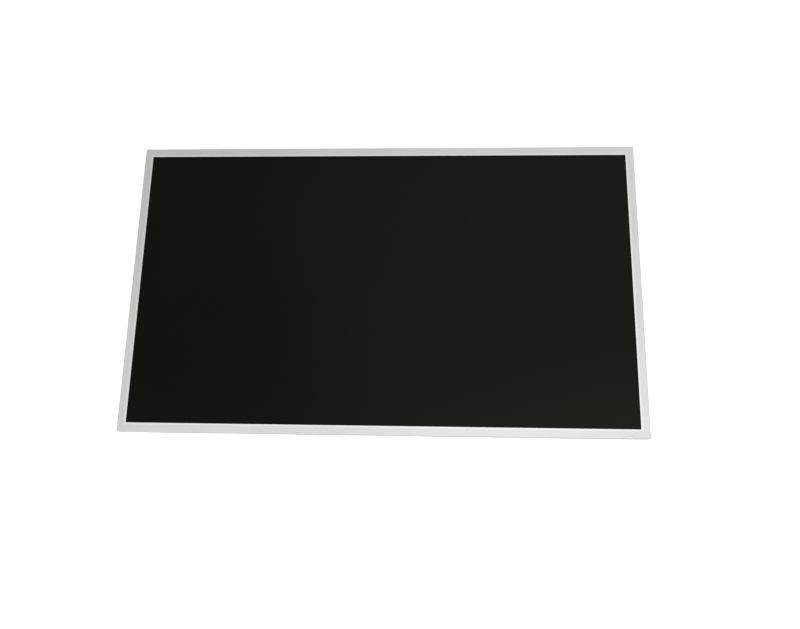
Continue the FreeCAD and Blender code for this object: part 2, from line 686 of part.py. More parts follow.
def make_back_cover():
    """The sheet behind the backlight, with a bead pressed out of it all round to stiffen it."""
    body = plate("back_cover", both(SHEET_X), (COVER_BOTTOM, SHEET_TOP), COVER_Z, "Sizes.cover_sheet")
    low = f"({BOARD_TOP} + Sizes.bead_margin)"
    high = f"({SHEET_TOP} - Sizes.bead_margin)"
    width = f"(2 * ({SHEET_X} - Sizes.bead_margin))"

    def edge(name, z, inset):
        """One edge of the bead, set in from its outer edge."""
        profile = sketch(body, name, at=("0", middle(low, high), z))
        size = (f"({width} - 2 * {inset})", f"({span(low, high)} - 2 * {inset})")
        return rounded_rectangle(profile, *size, f"(Sizes.bead_corner - {inset})")

    def press(feature, way):
        """Sinks a feature to the bead's depth, with its side sloped in or out on the way."""
        feature.Reversed = feature.TypeId == "PartDesign::Pad"
        feature.setExpression("TaperAngle", f"{way}atan(Sizes.bead_slope / Sizes.bead_depth)")

    press(pad(edge("rear_outside", COVER_Z, "0"), "Sizes.bead_depth"), "-")
    press(pocket(edge("rear_inside", COVER_Z, "Sizes.bead_width"), "Sizes.bead_depth"), "")
    press(pocket(edge("front_outside", REFLECTOR_Z, "0"), "Sizes.bead_depth"), "-")
    press(pad(edge("front_inside", REFLECTOR_Z, "Sizes.bead_width"), "Sizes.bead_depth"), "")
    return body


def make_side_nut_inserts():
    """Threaded brass inserts, flush with the sides of the moulded frame."""
    body = new_body("side_nut_inserts")
    for side, offset, reverse in (("right", FRAME_X, True), ("left", f"(-{FRAME_X})", False)):
        for name, start, extent in screw_rows():
            profile = sketch(body, f"{side}_{name}", "YZ_Plane", (start, "Sizes.screw_level", offset))
            barrel = pad(circle(profile, "Sizes.insert_diameter"), "Sizes.insert_length")
            barrel.Reversed = reverse
            row_of([barrel], "Y_Axis", "2", extent)
    for name, start, extent in screw_rows():
        at = (start, "Sizes.screw_level", "0")
        bore = through(circle(sketch(body, f"{name}_thread", "YZ_Plane", at), "Sizes.thread_bore"))
        row_of([bore], "Y_Axis", "2", extent)
    return body


def make_edge_tapes():
    """Tapes across the joint between the back cover and the moulded frame."""
    level = f"({COVER_Z} - Sizes.edge_tape)"
    outer = f"({POCKET_X} - Sizes.edge_tape_inset)"
    inner = f"({outer} - Sizes.edge_tape_width)"
    top = f"({POCKET_TOP} - Sizes.edge_tape_inset)"
    seam = f"({top} - Sizes.edge_tape_width)"
    low = f"({BOARD_TOP} + Sizes.edge_tape_width)"
    high = f"({seam} - Sizes.edge_tape_inset)"
    plate("edge_tape_top", both(outer), (seam, top), level, "Sizes.edge_tape")
    plate("edge_tape_left", (f"(-{outer})", f"(-{inner})"), (low, high), level, "Sizes.edge_tape")
    plate("edge_tape_right", (inner, outer), (low, high), level, "Sizes.edge_tape")


# Glass cell


def make_glass_cell():
    """Two glasses between polarizers. The array glass shows a ledge along its left and bottom edges."""
    filter_left = f"(Sizes.gate_ledge - {GLASS_X})"
    front_x = f"({OPENING_WIDTH} / 2 + Sizes.polarizer_lap)"
    front_half = f"({OPENING_HEIGHT} / 2 + Sizes.polarizer_lap)"
    front_y = (f"({OPENING_Y} - {front_half})", f"({OPENING_Y} + {front_half})")
    rear_x = f"({WINDOW_WIDTH} / 2 - Sizes.rear_polarizer_clearance)"
    rear_half = f"({WINDOW_HEIGHT} / 2 - Sizes.rear_polarizer_clearance)"
    rear_y = (f"({OPENING_Y} - {rear_half})", f"({OPENING_Y} + {rear_half})")
    glass_y = (GLASS_BOTTOM, GLASS_TOP)
    filter_y = (FILTER_BOTTOM, GLASS_TOP)
    plate("front_polarizer", both(front_x), front_y, POLARIZER_Z, "Sizes.polarizer_thickness")
    plate("color_filter_glass", (filter_left, GLASS_X), filter_y, FILTER_Z, "Sizes.glass_thickness")
    plate("array_glass", both(GLASS_X), glass_y, ARRAY_Z, "Sizes.glass_thickness")
    rear_z = f"({ARRAY_Z} - Sizes.polarizer_thickness)"
    plate("rear_polarizer", both(rear_x), rear_y, rear_z, "Sizes.polarizer_thickness")
    gasket = plate("cell_gasket", both(GLASS_X), glass_y, GASKET_Z, "Sizes.gasket_thickness")
    through(rectangle(sketch(gasket, "window", at=("0", OPENING_Y, "0")), WINDOW_WIDTH, WINDOW_HEIGHT))


def make_gate_driver_chips():
    """Driver chips bonded on the array glass's left ledge."""
    body = new_body("gate_driver_chips")
    size = ("Sizes.gate_chip_width", "Sizes.gate_chip_length", "Sizes.gate_chip_thickness")
    at = (f"(Sizes.gate_ledge / 2 - {GLASS_X})", "(-Sizes.gate_chip_spread / 2)", FILTER_Z)
    row_of([block(body, "chip", size, at)], "Y_Axis", "Sizes.gate_chip_count", "Sizes.gate_chip_spread")


def make_cell_side_pads():
    """Silicone blocks that fill the gap between the array glass and the moulded frame."""
    body = new_body("cell_side_pads")
    top_size = ("Sizes.pad_length", "Sizes.cell_clearance", "Sizes.glass_thickness")
    top_at = ("(-Sizes.pad_top_spread / 2)", middle(GLASS_TOP, POCKET_TOP), ARRAY_Z)
    row_of([block(body, "top", top_size, top_at)], "X_Axis", "2", "Sizes.pad_top_spread")
    side_size = ("Sizes.cell_clearance", "Sizes.pad_length", "Sizes.glass_thickness")
    for side, x in (("right", middle(GLASS_X, POCKET_X)), ("left", f"(-{middle(GLASS_X, POCKET_X)})")):
        pad_block = block(body, side, side_size, (x, "(-Sizes.pad_side_spread / 2)", ARRAY_Z))
        row_of([pad_block], "Y_Axis", "2", "Sizes.pad_side_spread")


# Backlight


def make_backlight_sheets():
    """The light guide with its ears, the reflector behind it and the films in front."""
    x_range, y_range = both(SHEET_X), (SHEET_BOTTOM, SHEET_TOP)
    sheets = (
        ("reflector_sheet", REFLECTOR_Z, "Sizes.reflector_thickness"),
        ("light_guide", GUIDE_Z, "Sizes.guide_thickness"),
        ("lower_diffuser", LOWER_DIFFUSER_Z, "Sizes.diffuser_thickness"),
        ("lower_prism_sheet", LOWER_PRISM_Z, "Sizes.prism_thickness"),
        ("upper_prism_sheet", UPPER_PRISM_Z, "Sizes.prism_thickness"),
        ("upper_diffuser", UPPER_DIFFUSER_Z, "Sizes.diffuser_thickness"),
    )
    for label, z, thickness in sheets:
        body = plate(label, x_range, y_range, z, thickness)
        if label == "light_guide":
            low, high = ear_range("0")
            reach = f"(2 * ({SHEET_X} + Sizes.guide_ear_reach))"
            block(body, "ears", (reach, span(low, high), thickness), ("0", middle(low, high), z))


def make_led_bar():
    """The LED circuit with its tail folded to the board, the LEDs on it and the bent strip over them."""
    flex = new_body("led_flex")
    low = f"({GUIDE_POCKET_BOTTOM} + Sizes.flex_clearance)"
    high = f"({SHEET_BOTTOM} - Sizes.flex_clearance)"
    length = f"(2 * ({SHEET_X} - Sizes.flex_end_margin))"
    size = (length, span(low, high), "Sizes.flex_thickness")
    block(flex, "strip", size, ("0", middle(low, high), REFLECTOR_Z))
    half = "Sizes.flex_thickness / 2"
    fold = (FILM_WALL_Y, f"({REFLECTOR_Z} + {half})", f"({BOARD_Z} - {half})")
    ends = (middle(low, high), f"({BOARD_BOTTOM} + Sizes.film_bond)")
    ribbon(flex, "tail", ("Sizes.tail_width", "Sizes.flex_thickness"), "Sizes.tail_bend", fold, ends, TAIL_X)

    leds = new_body("led_packages")
    row = f"(2 * ({SHEET_X} - Sizes.led_end_margin) - Sizes.led_length)"
    at = (f"(-{row} / 2)", f"({SHEET_BOTTOM} - Sizes.led_gap - Sizes.led_depth / 2)", LED_Z)
    led = block(leds, "led", ("Sizes.led_length", "Sizes.led_depth", "Sizes.led_height"), at)
    row_of([led], "X_Axis", "Sizes.led_count", row)

    strip = new_body("led_reflector")
    wall = f"({GUIDE_POCKET_BOTTOM} + Sizes.strip_gap)"
    lip_z = f"({LED_Z} + Sizes.led_height + Sizes.strip_gap)"
    edge = f"({SHEET_BOTTOM} - Sizes.led_gap)"
    size = (length, span(wall, edge), "Sizes.reflector_strip")
    block(strip, "lip", size, ("0", middle(wall, edge), lip_z))
    leg = f"({wall} + Sizes.reflector_strip)"
    foot = f"({LED_Z} + Sizes.strip_gap)"
    size = (length, "Sizes.reflector_strip", span(foot, lip_z))
    block(strip, "leg", size, ("0", middle(wall, leg), foot))


# Electronics


def make_source_films():
    """Driver films, each with its chip, bonded to the array glass's ledge and folded round to the board."""
    films = new_body("source_films")
    half = "Sizes.film_thickness / 2"
    upper = f"({FILTER_Z} + {half})"
    lower = f"({BOARD_Z} - {half})"
    ends = (f"({GLASS_BOTTOM} + Sizes.film_bond)", f"({BOARD_BOTTOM} + Sizes.film_bond)")
    fold = (FILM_WALL_Y, upper, lower)
    film_size = ("Sizes.film_width", "Sizes.film_thickness")
    film = ribbon(films, "film", film_size, "Sizes.film_bend", fold, ends, FIRST_FILM_X)
    row_of([film], "X_Axis", "Sizes.film_count", FILM_ROW)

    chips = new_body("source_driver_chips")
    size = ("Sizes.source_chip_length", "Sizes.source_chip_thickness", "Sizes.source_chip_width")
    y = f"({FILM_WALL_Y} + {half} + Sizes.source_chip_thickness / 2)"
    z = f"({middle(lower, upper)} - Sizes.source_chip_width / 2)"
    chip = block(chips, "chip", size, (FIRST_FILM_X, y, z))
    row_of([chip], "X_Axis", "Sizes.film_count", FILM_ROW)


def make_driver_board():
    """The long board on the back cover, held by double-sided tape, with its corners notched."""
    board_y = (BOARD_BOTTOM, BOARD_TOP)
    board = plate("driver_board", both(BOARD_X), board_y, BOARD_Z, "Sizes.board_thickness")
    for name, sign in (("left", "-"), ("right", "")):
        at = (f"({sign}{BOARD_X})", BOARD_TOP, "0")
        through(rectangle(sketch(board, f"{name}_notch", at=at), *["2 * Sizes.board_notch"] * 2))
    hole_x = f"({BOARD_X} - Sizes.board_hole_margin)"
    hole = through(circle(sketch(board, "hole", at=(f"(-{hole_x})", BOARD_Y, "0")), "Sizes.board_hole"))
    row_of([hole], "X_Axis", "2", f"2 * {hole_x}")
    inset = "Sizes.board_tape_inset"
    tape_x = f"({hole_x} - Sizes.board_hole / 2 - {inset})"
    tape_y = (f"({BOARD_BOTTOM} + {inset})", f"({BOARD_TOP} - {inset})")
    plate("board_tape", both(tape_x), tape_y, f"({COVER_Z} - Sizes.board_tape)", "Sizes.board_tape")


def make_board_parts():
    """Chips, coils, capacitors and resistors, soldered on the board's rear face."""
    for label, place in CHIPS.items():
        add_part(new_body(label), label, *place[:2])
    for label, rows in PART_ROWS.items():
        body = new_body(label)
        for name, place in rows.items():
            first = add_part(body, name, *place[:2])
            if len(place) > 2 + PART_FIELDS.index("count"):
                count = f"Sizes.{name}_count"
                row_of([first], "X_Axis", count, f"(({count} - 1) * Sizes.{name}_pitch)")


def add_part(body, name, station, lane):
    """One part's package, standing out from the board towards the cover film."""
    size = (f"Sizes.{name}_length", f"Sizes.{name}_width", f"(Sizes.part_room - Sizes.{name}_headroom)")
    at = (f"({STATIONS[station]} + Sizes.{name}_along)", f"({LANES[lane]} + Sizes.{name}_across)", BOARD_Z)
    return block(body, name, size, at, reverse=True)


def make_signal_connector():
    """The flat socket for the picture cable: a moulded housing over its contacts, under a metal shell."""
    x, half = CONNECTOR_X, CONNECTOR_HALF
    back = f"({BOARD_TOP} - Sizes.connector_depth)"
    depth_middle = middle(back, BOARD_TOP)
    floor = f"({BOARD_Z} - Sizes.contact_thickness)"
    lid = f"({PART_Z} - Sizes.connector_proud)"
    roof = f"({lid} + Sizes.connector_shell)"
    inside_x = (f"({x} - {half})", f"({x} + {half})")

    housing = new_body("signal_connector_housing")
    size = (f"2 * {half}", "Sizes.connector_depth", span(roof, floor))
    block(housing, "block", size, (x, depth_middle, roof))
    mouth_x = (f"({inside_x[0]} + Sizes.connector_wall)", f"({inside_x[1]} - Sizes.connector_wall)")
    mouth_y = (f"({back} + Sizes.connector_wall)", BOARD_TOP)
    cut_box(housing, "mouth", mouth_x, mouth_y, (f"({roof} + Sizes.connector_roof)", floor))

    shell = new_body("signal_connector_shell")
    outer = f"({half} + Sizes.connector_shell)"
    size = (f"2 * {outer}", "Sizes.connector_depth", span(lid, BOARD_Z))
    block(shell, "block", size, (x, depth_middle, lid))
    size = (f"2 * ({outer} + Sizes.connector_foot)", "Sizes.connector_foot", "Sizes.connector_shell")
    block(shell, "feet", size, (x, depth_middle, f"({BOARD_Z} - Sizes.connector_shell)"))
    cut_box(shell, "inside", inside_x, (back, BOARD_TOP), (roof, BOARD_Z))

    contacts = new_body("signal_contacts")
    front = f"({BOARD_TOP} - Sizes.connector_wall)"
    tail = f"({back} - Sizes.contact_tail)"
    size = ("Sizes.contact_width", span(tail, front), "Sizes.contact_thickness")
    contact = block(contacts, "contact", size, (f"({x} - {CONTACT_ROW} / 2)", middle(tail, front), floor))
    row_of([contact], "X_Axis", "Sizes.contact_count", CONTACT_ROW)


def make_board_cover_film():
    """The insulating film over the board, stuck to the back cover along its upper edge."""
    body = new_body("board_cover_film")
    end = f"({BOARD_X} + Sizes.cover_film_overhang)"
    thickness = "Sizes.cover_film"
    low_y, bend_y = BOARD_BOTTOM, f"({BOARD_TOP} + Sizes.cover_film_overhang)"
    rise = f"({COVER_Z} - {thickness} - {COVER_FILM_Z})"
    profile = sketch(body, "section", "YZ_Plane", (low_y, COVER_FILM_Z, f"(-{end})"))
    flat, slope = value(span(low_y, bend_y)), value("Sizes.cover_film_slope")
    grip, up, t = value("Sizes.cover_film_grip"), value(rise), value(thickness)
    lower = [(0, 0), (flat, 0), (flat + slope, up), (flat + slope + grip, up)]
    closed_lines(profile, lower + [(x, y + t) for x, y in reversed(lower)])
    profile.addConstraint(Sketcher.Constraint("Coincident", 0, 1, -1, 1))
    for line in (0, 2, 4, 6):
        profile.addConstraint(Sketcher.Constraint("Horizontal", line))
    for line in (3, 7):
        profile.addConstraint(Sketcher.Constraint("Vertical", line))
    profile.addConstraint(Sketcher.Constraint("Parallel", 1, 5))
    profile.addConstraint(Sketcher.Constraint("Equal", 3, 7))
    bind(profile, Sketcher.Constraint("DistanceX", 0, 1, 0, 2, flat), "flat", span(low_y, bend_y))
    bind(profile, Sketcher.Constraint("DistanceX", 1, 1, 1, 2, slope), "slope", "Sizes.cover_film_slope")
    bind(profile, Sketcher.Constraint("DistanceY", 1, 1, 1, 2, up), "rise", rise)
    bind(profile, Sketcher.Constraint("DistanceX", 2, 1, 2, 2, grip), "grip", "Sizes.cover_film_grip")
    bind(profile, Sketcher.Constraint("DistanceY", 3, 1, 3, 2, t), "thickness", thickness)
    profile.addConstraint(Sketcher.Constraint("Vertical", 0, 2, 5, 2))
    pad(profile, f"2 * {end}")
    half_bay = f"({CONNECTOR_HALF} + Sizes.connector_bay)"
    bay_x = (f"({CONNECTOR_X} - {half_bay})", f"({CONNECTOR_X} + {half_bay})")
    tails = f"({BOARD_TOP} - Sizes.connector_depth - Sizes.contact_tail)"
    edge = f"({bend_y} + Sizes.cover_film_slope + Sizes.cover_film_grip)"
    bay_y = (f"({tails} - Sizes.cover_film_overhang)", edge)
    cut_box(body, "connector_bay", bay_x, bay_y, (COVER_FILM_Z, COVER_Z))


def check(bodies):
    """Stops before anything is written if a feature failed or a shape isn't a valid solid."""
    for feature in doc.Objects:
        if "Invalid" in feature.State or "Error" in feature.State:
            raise RuntimeError(f"{feature.Label} failed: {feature.State}")
    for body in bodies:
        if body.Shape.isNull() or not body.Shape.isValid() or not body.Shape.Solids:
            raise RuntimeError(f"{body.Label} is not a valid solid")


make_front_bezel()
make_mould_frame()
make_back_cover()
make_side_nut_inserts()
make_edge_tapes()
make_glass_cell()
make_gate_driver_chips()
make_cell_side_pads()
make_backlight_sheets()
make_led_bar()
make_source_films()
make_driver_board()
make_board_parts()
make_signal_connector()
make_board_cover_film()
doc.recompute()

parts = [item for item in doc.Objects if item.TypeId == "PartDesign::Body"]
check(parts)
os.makedirs("parts", exist_ok=True)
for part in parts:
    part.Shape.exportStep(f"parts/{part.Label}.step")
    box = part.Shape.BoundBox
    print(f"{part.Label}: {len(part.Shape.Solids)} solids, {part.Shape.Volume:.2f} mm3, "
          f"z {box.ZMin:.2f} to {box.ZMax:.2f}")
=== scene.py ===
"""Looks of a notebook display module: a dark satin screen in a thin folded silver bezel, lying on its back.

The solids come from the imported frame. This script gives each of them its finish and adds the fine pieces
that the solids leave out: threads, solder, leads, lands and the ripple of the clear film.
"""
import bmesh
import bpy
import json
import math
from mathutils import Matrix, Vector


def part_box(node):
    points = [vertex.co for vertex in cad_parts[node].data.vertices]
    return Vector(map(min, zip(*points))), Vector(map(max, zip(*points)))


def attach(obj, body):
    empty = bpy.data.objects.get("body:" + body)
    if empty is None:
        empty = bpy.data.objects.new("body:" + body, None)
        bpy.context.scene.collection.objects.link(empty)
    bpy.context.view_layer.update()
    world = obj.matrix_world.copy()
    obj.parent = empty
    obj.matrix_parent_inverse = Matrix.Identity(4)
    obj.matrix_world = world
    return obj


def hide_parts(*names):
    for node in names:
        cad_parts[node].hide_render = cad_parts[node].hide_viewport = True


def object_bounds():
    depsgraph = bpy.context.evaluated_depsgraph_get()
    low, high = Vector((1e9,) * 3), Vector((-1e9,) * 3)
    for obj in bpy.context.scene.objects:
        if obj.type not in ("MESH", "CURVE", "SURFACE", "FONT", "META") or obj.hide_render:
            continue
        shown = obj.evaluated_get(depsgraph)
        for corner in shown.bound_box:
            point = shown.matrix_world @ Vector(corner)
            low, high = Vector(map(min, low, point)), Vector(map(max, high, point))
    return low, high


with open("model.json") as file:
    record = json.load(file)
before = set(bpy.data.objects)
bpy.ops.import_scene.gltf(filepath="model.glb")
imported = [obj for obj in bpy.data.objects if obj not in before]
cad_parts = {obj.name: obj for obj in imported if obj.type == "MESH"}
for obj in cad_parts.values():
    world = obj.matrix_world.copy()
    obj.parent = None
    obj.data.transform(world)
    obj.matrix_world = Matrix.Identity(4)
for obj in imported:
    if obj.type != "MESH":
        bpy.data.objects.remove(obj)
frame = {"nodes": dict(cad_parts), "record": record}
cad_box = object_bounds()

MM = 0.001
SAME_POINT = 0.001 * MM
BODY = "root"
SLOT_OF = {part["node"]: part["material_slot"] for part in frame["record"]["subparts"]}

# Node trees


def link_or_set(tree, socket, value):
    """Links another node's output to a socket, or sets a plain value on it."""
    if isinstance(value, bpy.types.NodeSocket):
        tree.links.new(value, socket)
    else:
        socket.default_value = value


def add_node(tree, kind, sockets=None, **settings):
    """A node with its settings made and its sockets linked or set."""
    made = tree.nodes.new(kind)
    for name, setting in settings.items():
        setattr(made, name, setting)
    for name, value in (sockets or {}).items():
        link_or_set(tree, made.inputs[name], value)
    return made


def new_finish(name, **sockets):
    """A material and its surface shader. Sockets are named with underscores for spaces."""
    material = bpy.data.materials.new(name)
    material.use_nodes = True
    shader = material.node_tree.nodes["Principled BSDF"]
    for socket, value in sockets.items():
        shader.inputs[socket.replace("_", " ")].default_value = value
    return material, material.node_tree, shader


def object_coords(tree, scale=(1, 1, 1)):
    """The piece's own coordinates in metres, stretched for grain that runs one way."""
    coords = add_node(tree, "ShaderNodeTexCoord")
    sockets = {"Vector": coords.outputs["Object"], "Scale": scale}
    return add_node(tree, "ShaderNodeMapping", sockets).outputs["Vector"]


def noise(tree, coords, size, detail=2.0, roughness=0.5):
    """Noise from 0 to 1 with features of about the given size in metres."""
    sockets = {"Vector": coords, "Scale": 1 / size, "Detail": detail, "Roughness": roughness}
    return add_node(tree, "ShaderNodeTexNoise", sockets).outputs["Fac"]


def shades(tree, factor, dark, light, start=0.3, end=0.7):
    """A colour that runs from dark to light while the factor goes from start to end."""
    ramp = add_node(tree, "ShaderNodeValToRGB", {"Fac": factor})
    for element, position, color in zip(ramp.color_ramp.elements, (start, end), (dark, light)):
        element.position = position
        element.color = (*color, 1.0)
    return ramp.outputs["Color"]


def remap(tree, value, low, high, start=0.0, end=1.0):
    """A value between start and end, carried over to the range from low to high."""
    sockets = {"Value": value, "From Min": start, "From Max": end, "To Min": low, "To Max": high}
    return add_node(tree, "ShaderNodeMapRange", sockets).outputs["Result"]


def math_node(tree, operation, *values):
    made = add_node(tree, "ShaderNodeMath", operation=operation)
    for socket, value in zip(made.inputs, values):
        link_or_set(tree, socket, value)
    return made.outputs["Value"]


def plus(tree, first, second):
    return math_node(tree, "ADD", first, second)


def minus(tree, first, second):
    return math_node(tree, "SUBTRACT", first, second)


def times(tree, first, second):
    return math_node(tree, "MULTIPLY", first, second)


def blend(tree, first, second, share):
    """A value made of the first one's share and the rest of the second."""
    return plus(tree, times(tree, first, share), times(tree, second, 1 - share))


def mix_colors(tree, factor, first, second):
    """The first colour where the factor is 0, the second where it is 1. Plain colours are tuples of three."""
    made = add_node(tree, "ShaderNodeMix", {0: factor}, data_type="RGBA")
    first_input, second_input, result = 6, 7, 2
    for index, color in ((first_input, first), (second_input, second)):
        link_or_set(tree, made.inputs[index], (*color, 1.0) if isinstance(color, tuple) else color)
    return made.outputs[result]


def split(tree, source):
    """The three parts of a vector."""
    made = add_node(tree, "ShaderNodeSeparateXYZ", {"Vector": source})
    return made.outputs["X"], made.outputs["Y"], made.outputs["Z"]


def relief(tree, shader, height, depth, strength=1.0):
    """Bump of about the given depth in metres."""
    made = add_node(tree, "ShaderNodeBump", {"Height": height, "Strength": strength, "Distance": depth})
    tree.links.new(made.outputs["Normal"], shader.inputs["Normal"])


def paint(tree, shader, color, roughness=None):
    """Links the patterns that vary over the surface."""
    tree.links.new(color, shader.inputs["Base Color"])
    if roughness is not None:
        tree.links.new(roughness, shader.inputs["Roughness"])


# Metal finishes


def bezel_steel():
    """Satin plated sheet: fine rolling grain, faint blotches and a painted highlight, a lighter band along
    the edge of the opening.
    """
    material, tree, shader = new_finish("bezel_steel", Metallic=1.0)
    grain = noise(tree, object_coords(tree, scale=(0.02, 1, 1)), 0.25 * MM, detail=3.0, roughness=0.6)
    cloud = noise(tree, object_coords(tree), 38 * MM, detail=3.0)
    tone = blend(tree, grain, cloud, share=0.45)
    plain = shades(tree, tone, (0.356, 0.358, 0.361), (0.434, 0.435, 0.436), start=0.25, end=0.75)
    # Painted highlight: a lighter metal colour painted in a band along the edge of the opening.
    painted_highlight = (0.48, 0.481, 0.482)
    color = mix_colors(tree, opening_highlight(tree), plain, painted_highlight)
    paint(tree, shader, color, remap(tree, tone, 0.44, 0.58))
    relief(tree, shader, grain, depth=0.004 * MM, strength=0.5)
    return material


def beyond_face(tree, inset):
    """How far a point lies beyond the screen's outline, drawn in by an inset. Negative inside it."""
    low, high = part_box("front_polarizer")
    x, y = split(tree, object_coords(tree))[:2]
    beyond_x = minus(tree, math_node(tree, "ABSOLUTE", x), (high.x - low.x) / 2 - inset)
    beyond_y = minus(tree, math_node(tree, "ABSOLUTE", y), (high.y - low.y) / 2 - inset)
    return math_node(tree, "MAXIMUM", beyond_x, beyond_y)


def opening_highlight(tree):
    """1 at the edge of the bezel's opening, falling to 0 within a margin: the mask of the painted highlight
    along the opening.
    """
    lap, bright, margin = 0.75 * MM, 0.4 * MM, 1.5 * MM
    return remap(tree, beyond_face(tree, lap), 1.0, 0.0, start=bright, end=margin)


def rear_sheet():
    """Rolled aluminium: streaks along the sheet and a slightly uneven dull shine."""
    material, tree, shader = new_finish("rear_sheet", Metallic=1.0)
    streaks = noise(tree, object_coords(tree, scale=(0.015, 1, 1)), 0.5 * MM, detail=4.0, roughness=0.65)
    cloud = noise(tree, object_coords(tree), 90 * MM)
    tone = blend(tree, streaks, cloud, share=0.75)
    color = shades(tree, tone, (0.58, 0.59, 0.6), (0.72, 0.725, 0.73))
    paint(tree, shader, color, remap(tree, streaks, 0.3, 0.44))
    relief(tree, shader, streaks, depth=0.006 * MM, strength=0.6)
    return material


def brass_insert():
    """Turned brass, a little darker in the tool marks."""
    material, tree, shader = new_finish("brass_insert", Metallic=1.0)
    marks = noise(tree, object_coords(tree, scale=(8, 1, 1)), 0.5 * MM, detail=3.0)
    color = shades(tree, marks, (0.52, 0.34, 0.11), (0.78, 0.57, 0.25))
    paint(tree, shader, color, remap(tree, marks, 0.22, 0.4))
    relief(tree, shader, marks, depth=0.004 * MM, strength=0.5)
    return material


def silver_tape():
    """Metallised tape with faint wrinkles and a bright, uneven shine."""
    material, tree, shader = new_finish("silver_tape", Metallic=0.85)
    wrinkles = noise(tree, object_coords(tree, scale=(0.4, 1, 1)), 2.2 * MM, detail=4.0, roughness=0.6)
    fibre = noise(tree, object_coords(tree), 0.15 * MM)
    color = shades(tree, wrinkles, (0.5, 0.5, 0.5), (0.68, 0.68, 0.67))
    paint(tree, shader, color, remap(tree, fibre, 0.24, 0.42))
    relief(tree, shader, wrinkles, depth=0.03 * MM, strength=0.5)
    return material


def connector_metal():
    """Stamped and tinned sheet: fine rolling lines and a soft, slightly uneven shine."""
    material, tree, shader = new_finish("connector_metal", Metallic=1.0)
    lines = noise(tree, object_coords(tree, scale=(0.03, 1, 1)), 0.08 * MM, detail=3.0, roughness=0.6)
    drift = noise(tree, object_coords(tree), 4 * MM)
    tone = blend(tree, lines, drift, share=0.6)
    color = shades(tree, tone, (0.45, 0.45, 0.44), (0.6, 0.6, 0.585))
    paint(tree, shader, color, remap(tree, lines, 0.2, 0.32))
    relief(tree, shader, lines, depth=0.004 * MM, strength=0.4)
    return material


def contact_metal():
    """Gold flash over copper, a little uneven."""
    material, tree, shader = new_finish("contact_metal", Metallic=1.0)
    crystals = noise(tree, object_coords(tree), 0.25 * MM, detail=3.0)
    color = shades(tree, crystals, (0.68, 0.49, 0.18), (0.8, 0.61, 0.27))
    paint(tree, shader, color, remap(tree, crystals, 0.24, 0.36))
    relief(tree, shader, crystals, depth=0.01 * MM, strength=0.2)
    return material


# Screen, glass and clear sheets


def screen_face():
    """Anti-glare polarizer: near black, with a fine matt tooth and a blacker border round the picture."""
    material, tree, shader = new_finish("screen_face", Specular_IOR_Level=0.066,
                                        Specular_Tint=(0.97, 1.0, 0.77, 1.0))
    tooth = noise(tree, object_coords(tree), 0.09 * MM)
    cloud = noise(tree, object_coords(tree), 120 * MM)
    picture = shades(tree, cloud, (0.0007, 0.0007, 0.0005), (0.0011, 0.0011, 0.0008))
    border = (0.0004, 0.0004, 0.0004)
    color = mix_colors(tree, picture_area(tree), border, picture)
    paint(tree, shader, color, remap(tree, tooth, 0.2, 0.28))
    relief(tree, shader, tooth, depth=0.003 * MM, strength=0.35)
    return material


def picture_area(tree):
    """1 over the active pixels, 0 in the dark border that shows inside the bezel."""
    border = 2.3 * MM
    return math_node(tree, "LESS_THAN", beyond_face(tree, border), 0.0)


def cell_glass():
    """Thin display glass, dark from the black matrix between its sheets."""
    material, tree, shader = new_finish("cell_glass", Roughness=0.08, Transmission_Weight=0.55, IOR=1.51)
    haze = noise(tree, object_coords(tree), 3 * MM)
    paint(tree, shader, shades(tree, haze, (0.16, 0.19, 0.18), (0.22, 0.25, 0.24)))
    return material


def polarizer_film():
    """The rear polarizer, a dark smooth film."""
    material, tree, shader = new_finish("polarizer_film", Roughness=0.25)
    haze = noise(tree, object_coords(tree), 0.2 * MM)
    paint(tree, shader, shades(tree, haze, (0.02, 0.021, 0.022), (0.035, 0.036, 0.038)))
    return material


def clear_sheet(name, color, roughness, ior, haze_size):
    """Clear film or moulding with a faint haze."""
    material, tree, shader = new_finish(name, Transmission_Weight=1.0, IOR=ior)
    haze = noise(tree, object_coords(tree), haze_size, detail=3.0)
    darker = tuple(0.94 * channel for channel in color)
    uneven = remap(tree, haze, 0.7 * roughness, 1.3 * roughness)
    paint(tree, shader, shades(tree, haze, darker, color), uneven)
    relief(tree, shader, haze, depth=0.01 * MM, strength=0.15)
    return material


# Plastics, tapes and electronics


def moulded(name, dark, light, grain=0.18 * MM, roughness=(0.42, 0.58)):
    """Moulded or cast material: a fine spark texture and a faint drift of tone."""
    material, tree, shader = new_finish(name)
    spark = noise(tree, object_coords(tree), grain, detail=3.0)
    drift = noise(tree, object_coords(tree), 28 * MM)
    tone = blend(tree, spark, drift, share=0.5)
    paint(tree, shader, shades(tree, tone, dark, light), remap(tree, spark, *roughness))
    relief(tree, shader, spark, depth=0.006 * MM, strength=0.5)
    return material


def amber_film():
    """Polyimide driver film with its fine copper lines running round the fold."""
    material, tree, shader = new_finish("amber_film", Roughness=0.24)
    x = split(tree, object_coords(tree))[0]
    pitch, gap_share = 0.32 * MM, 0.27
    copper = math_node(tree, "GREATER_THAN", math_node(tree, "PINGPONG", x, pitch / 2), gap_share * pitch)
    drift = noise(tree, object_coords(tree), 6 * MM)
    film = shades(tree, drift, (0.3, 0.115, 0.018), (0.4, 0.17, 0.03))
    paint(tree, shader, mix_colors(tree, copper, film, (0.42, 0.2, 0.075)))
    relief(tree, shader, copper, depth=0.01 * MM, strength=0.6)
    return material


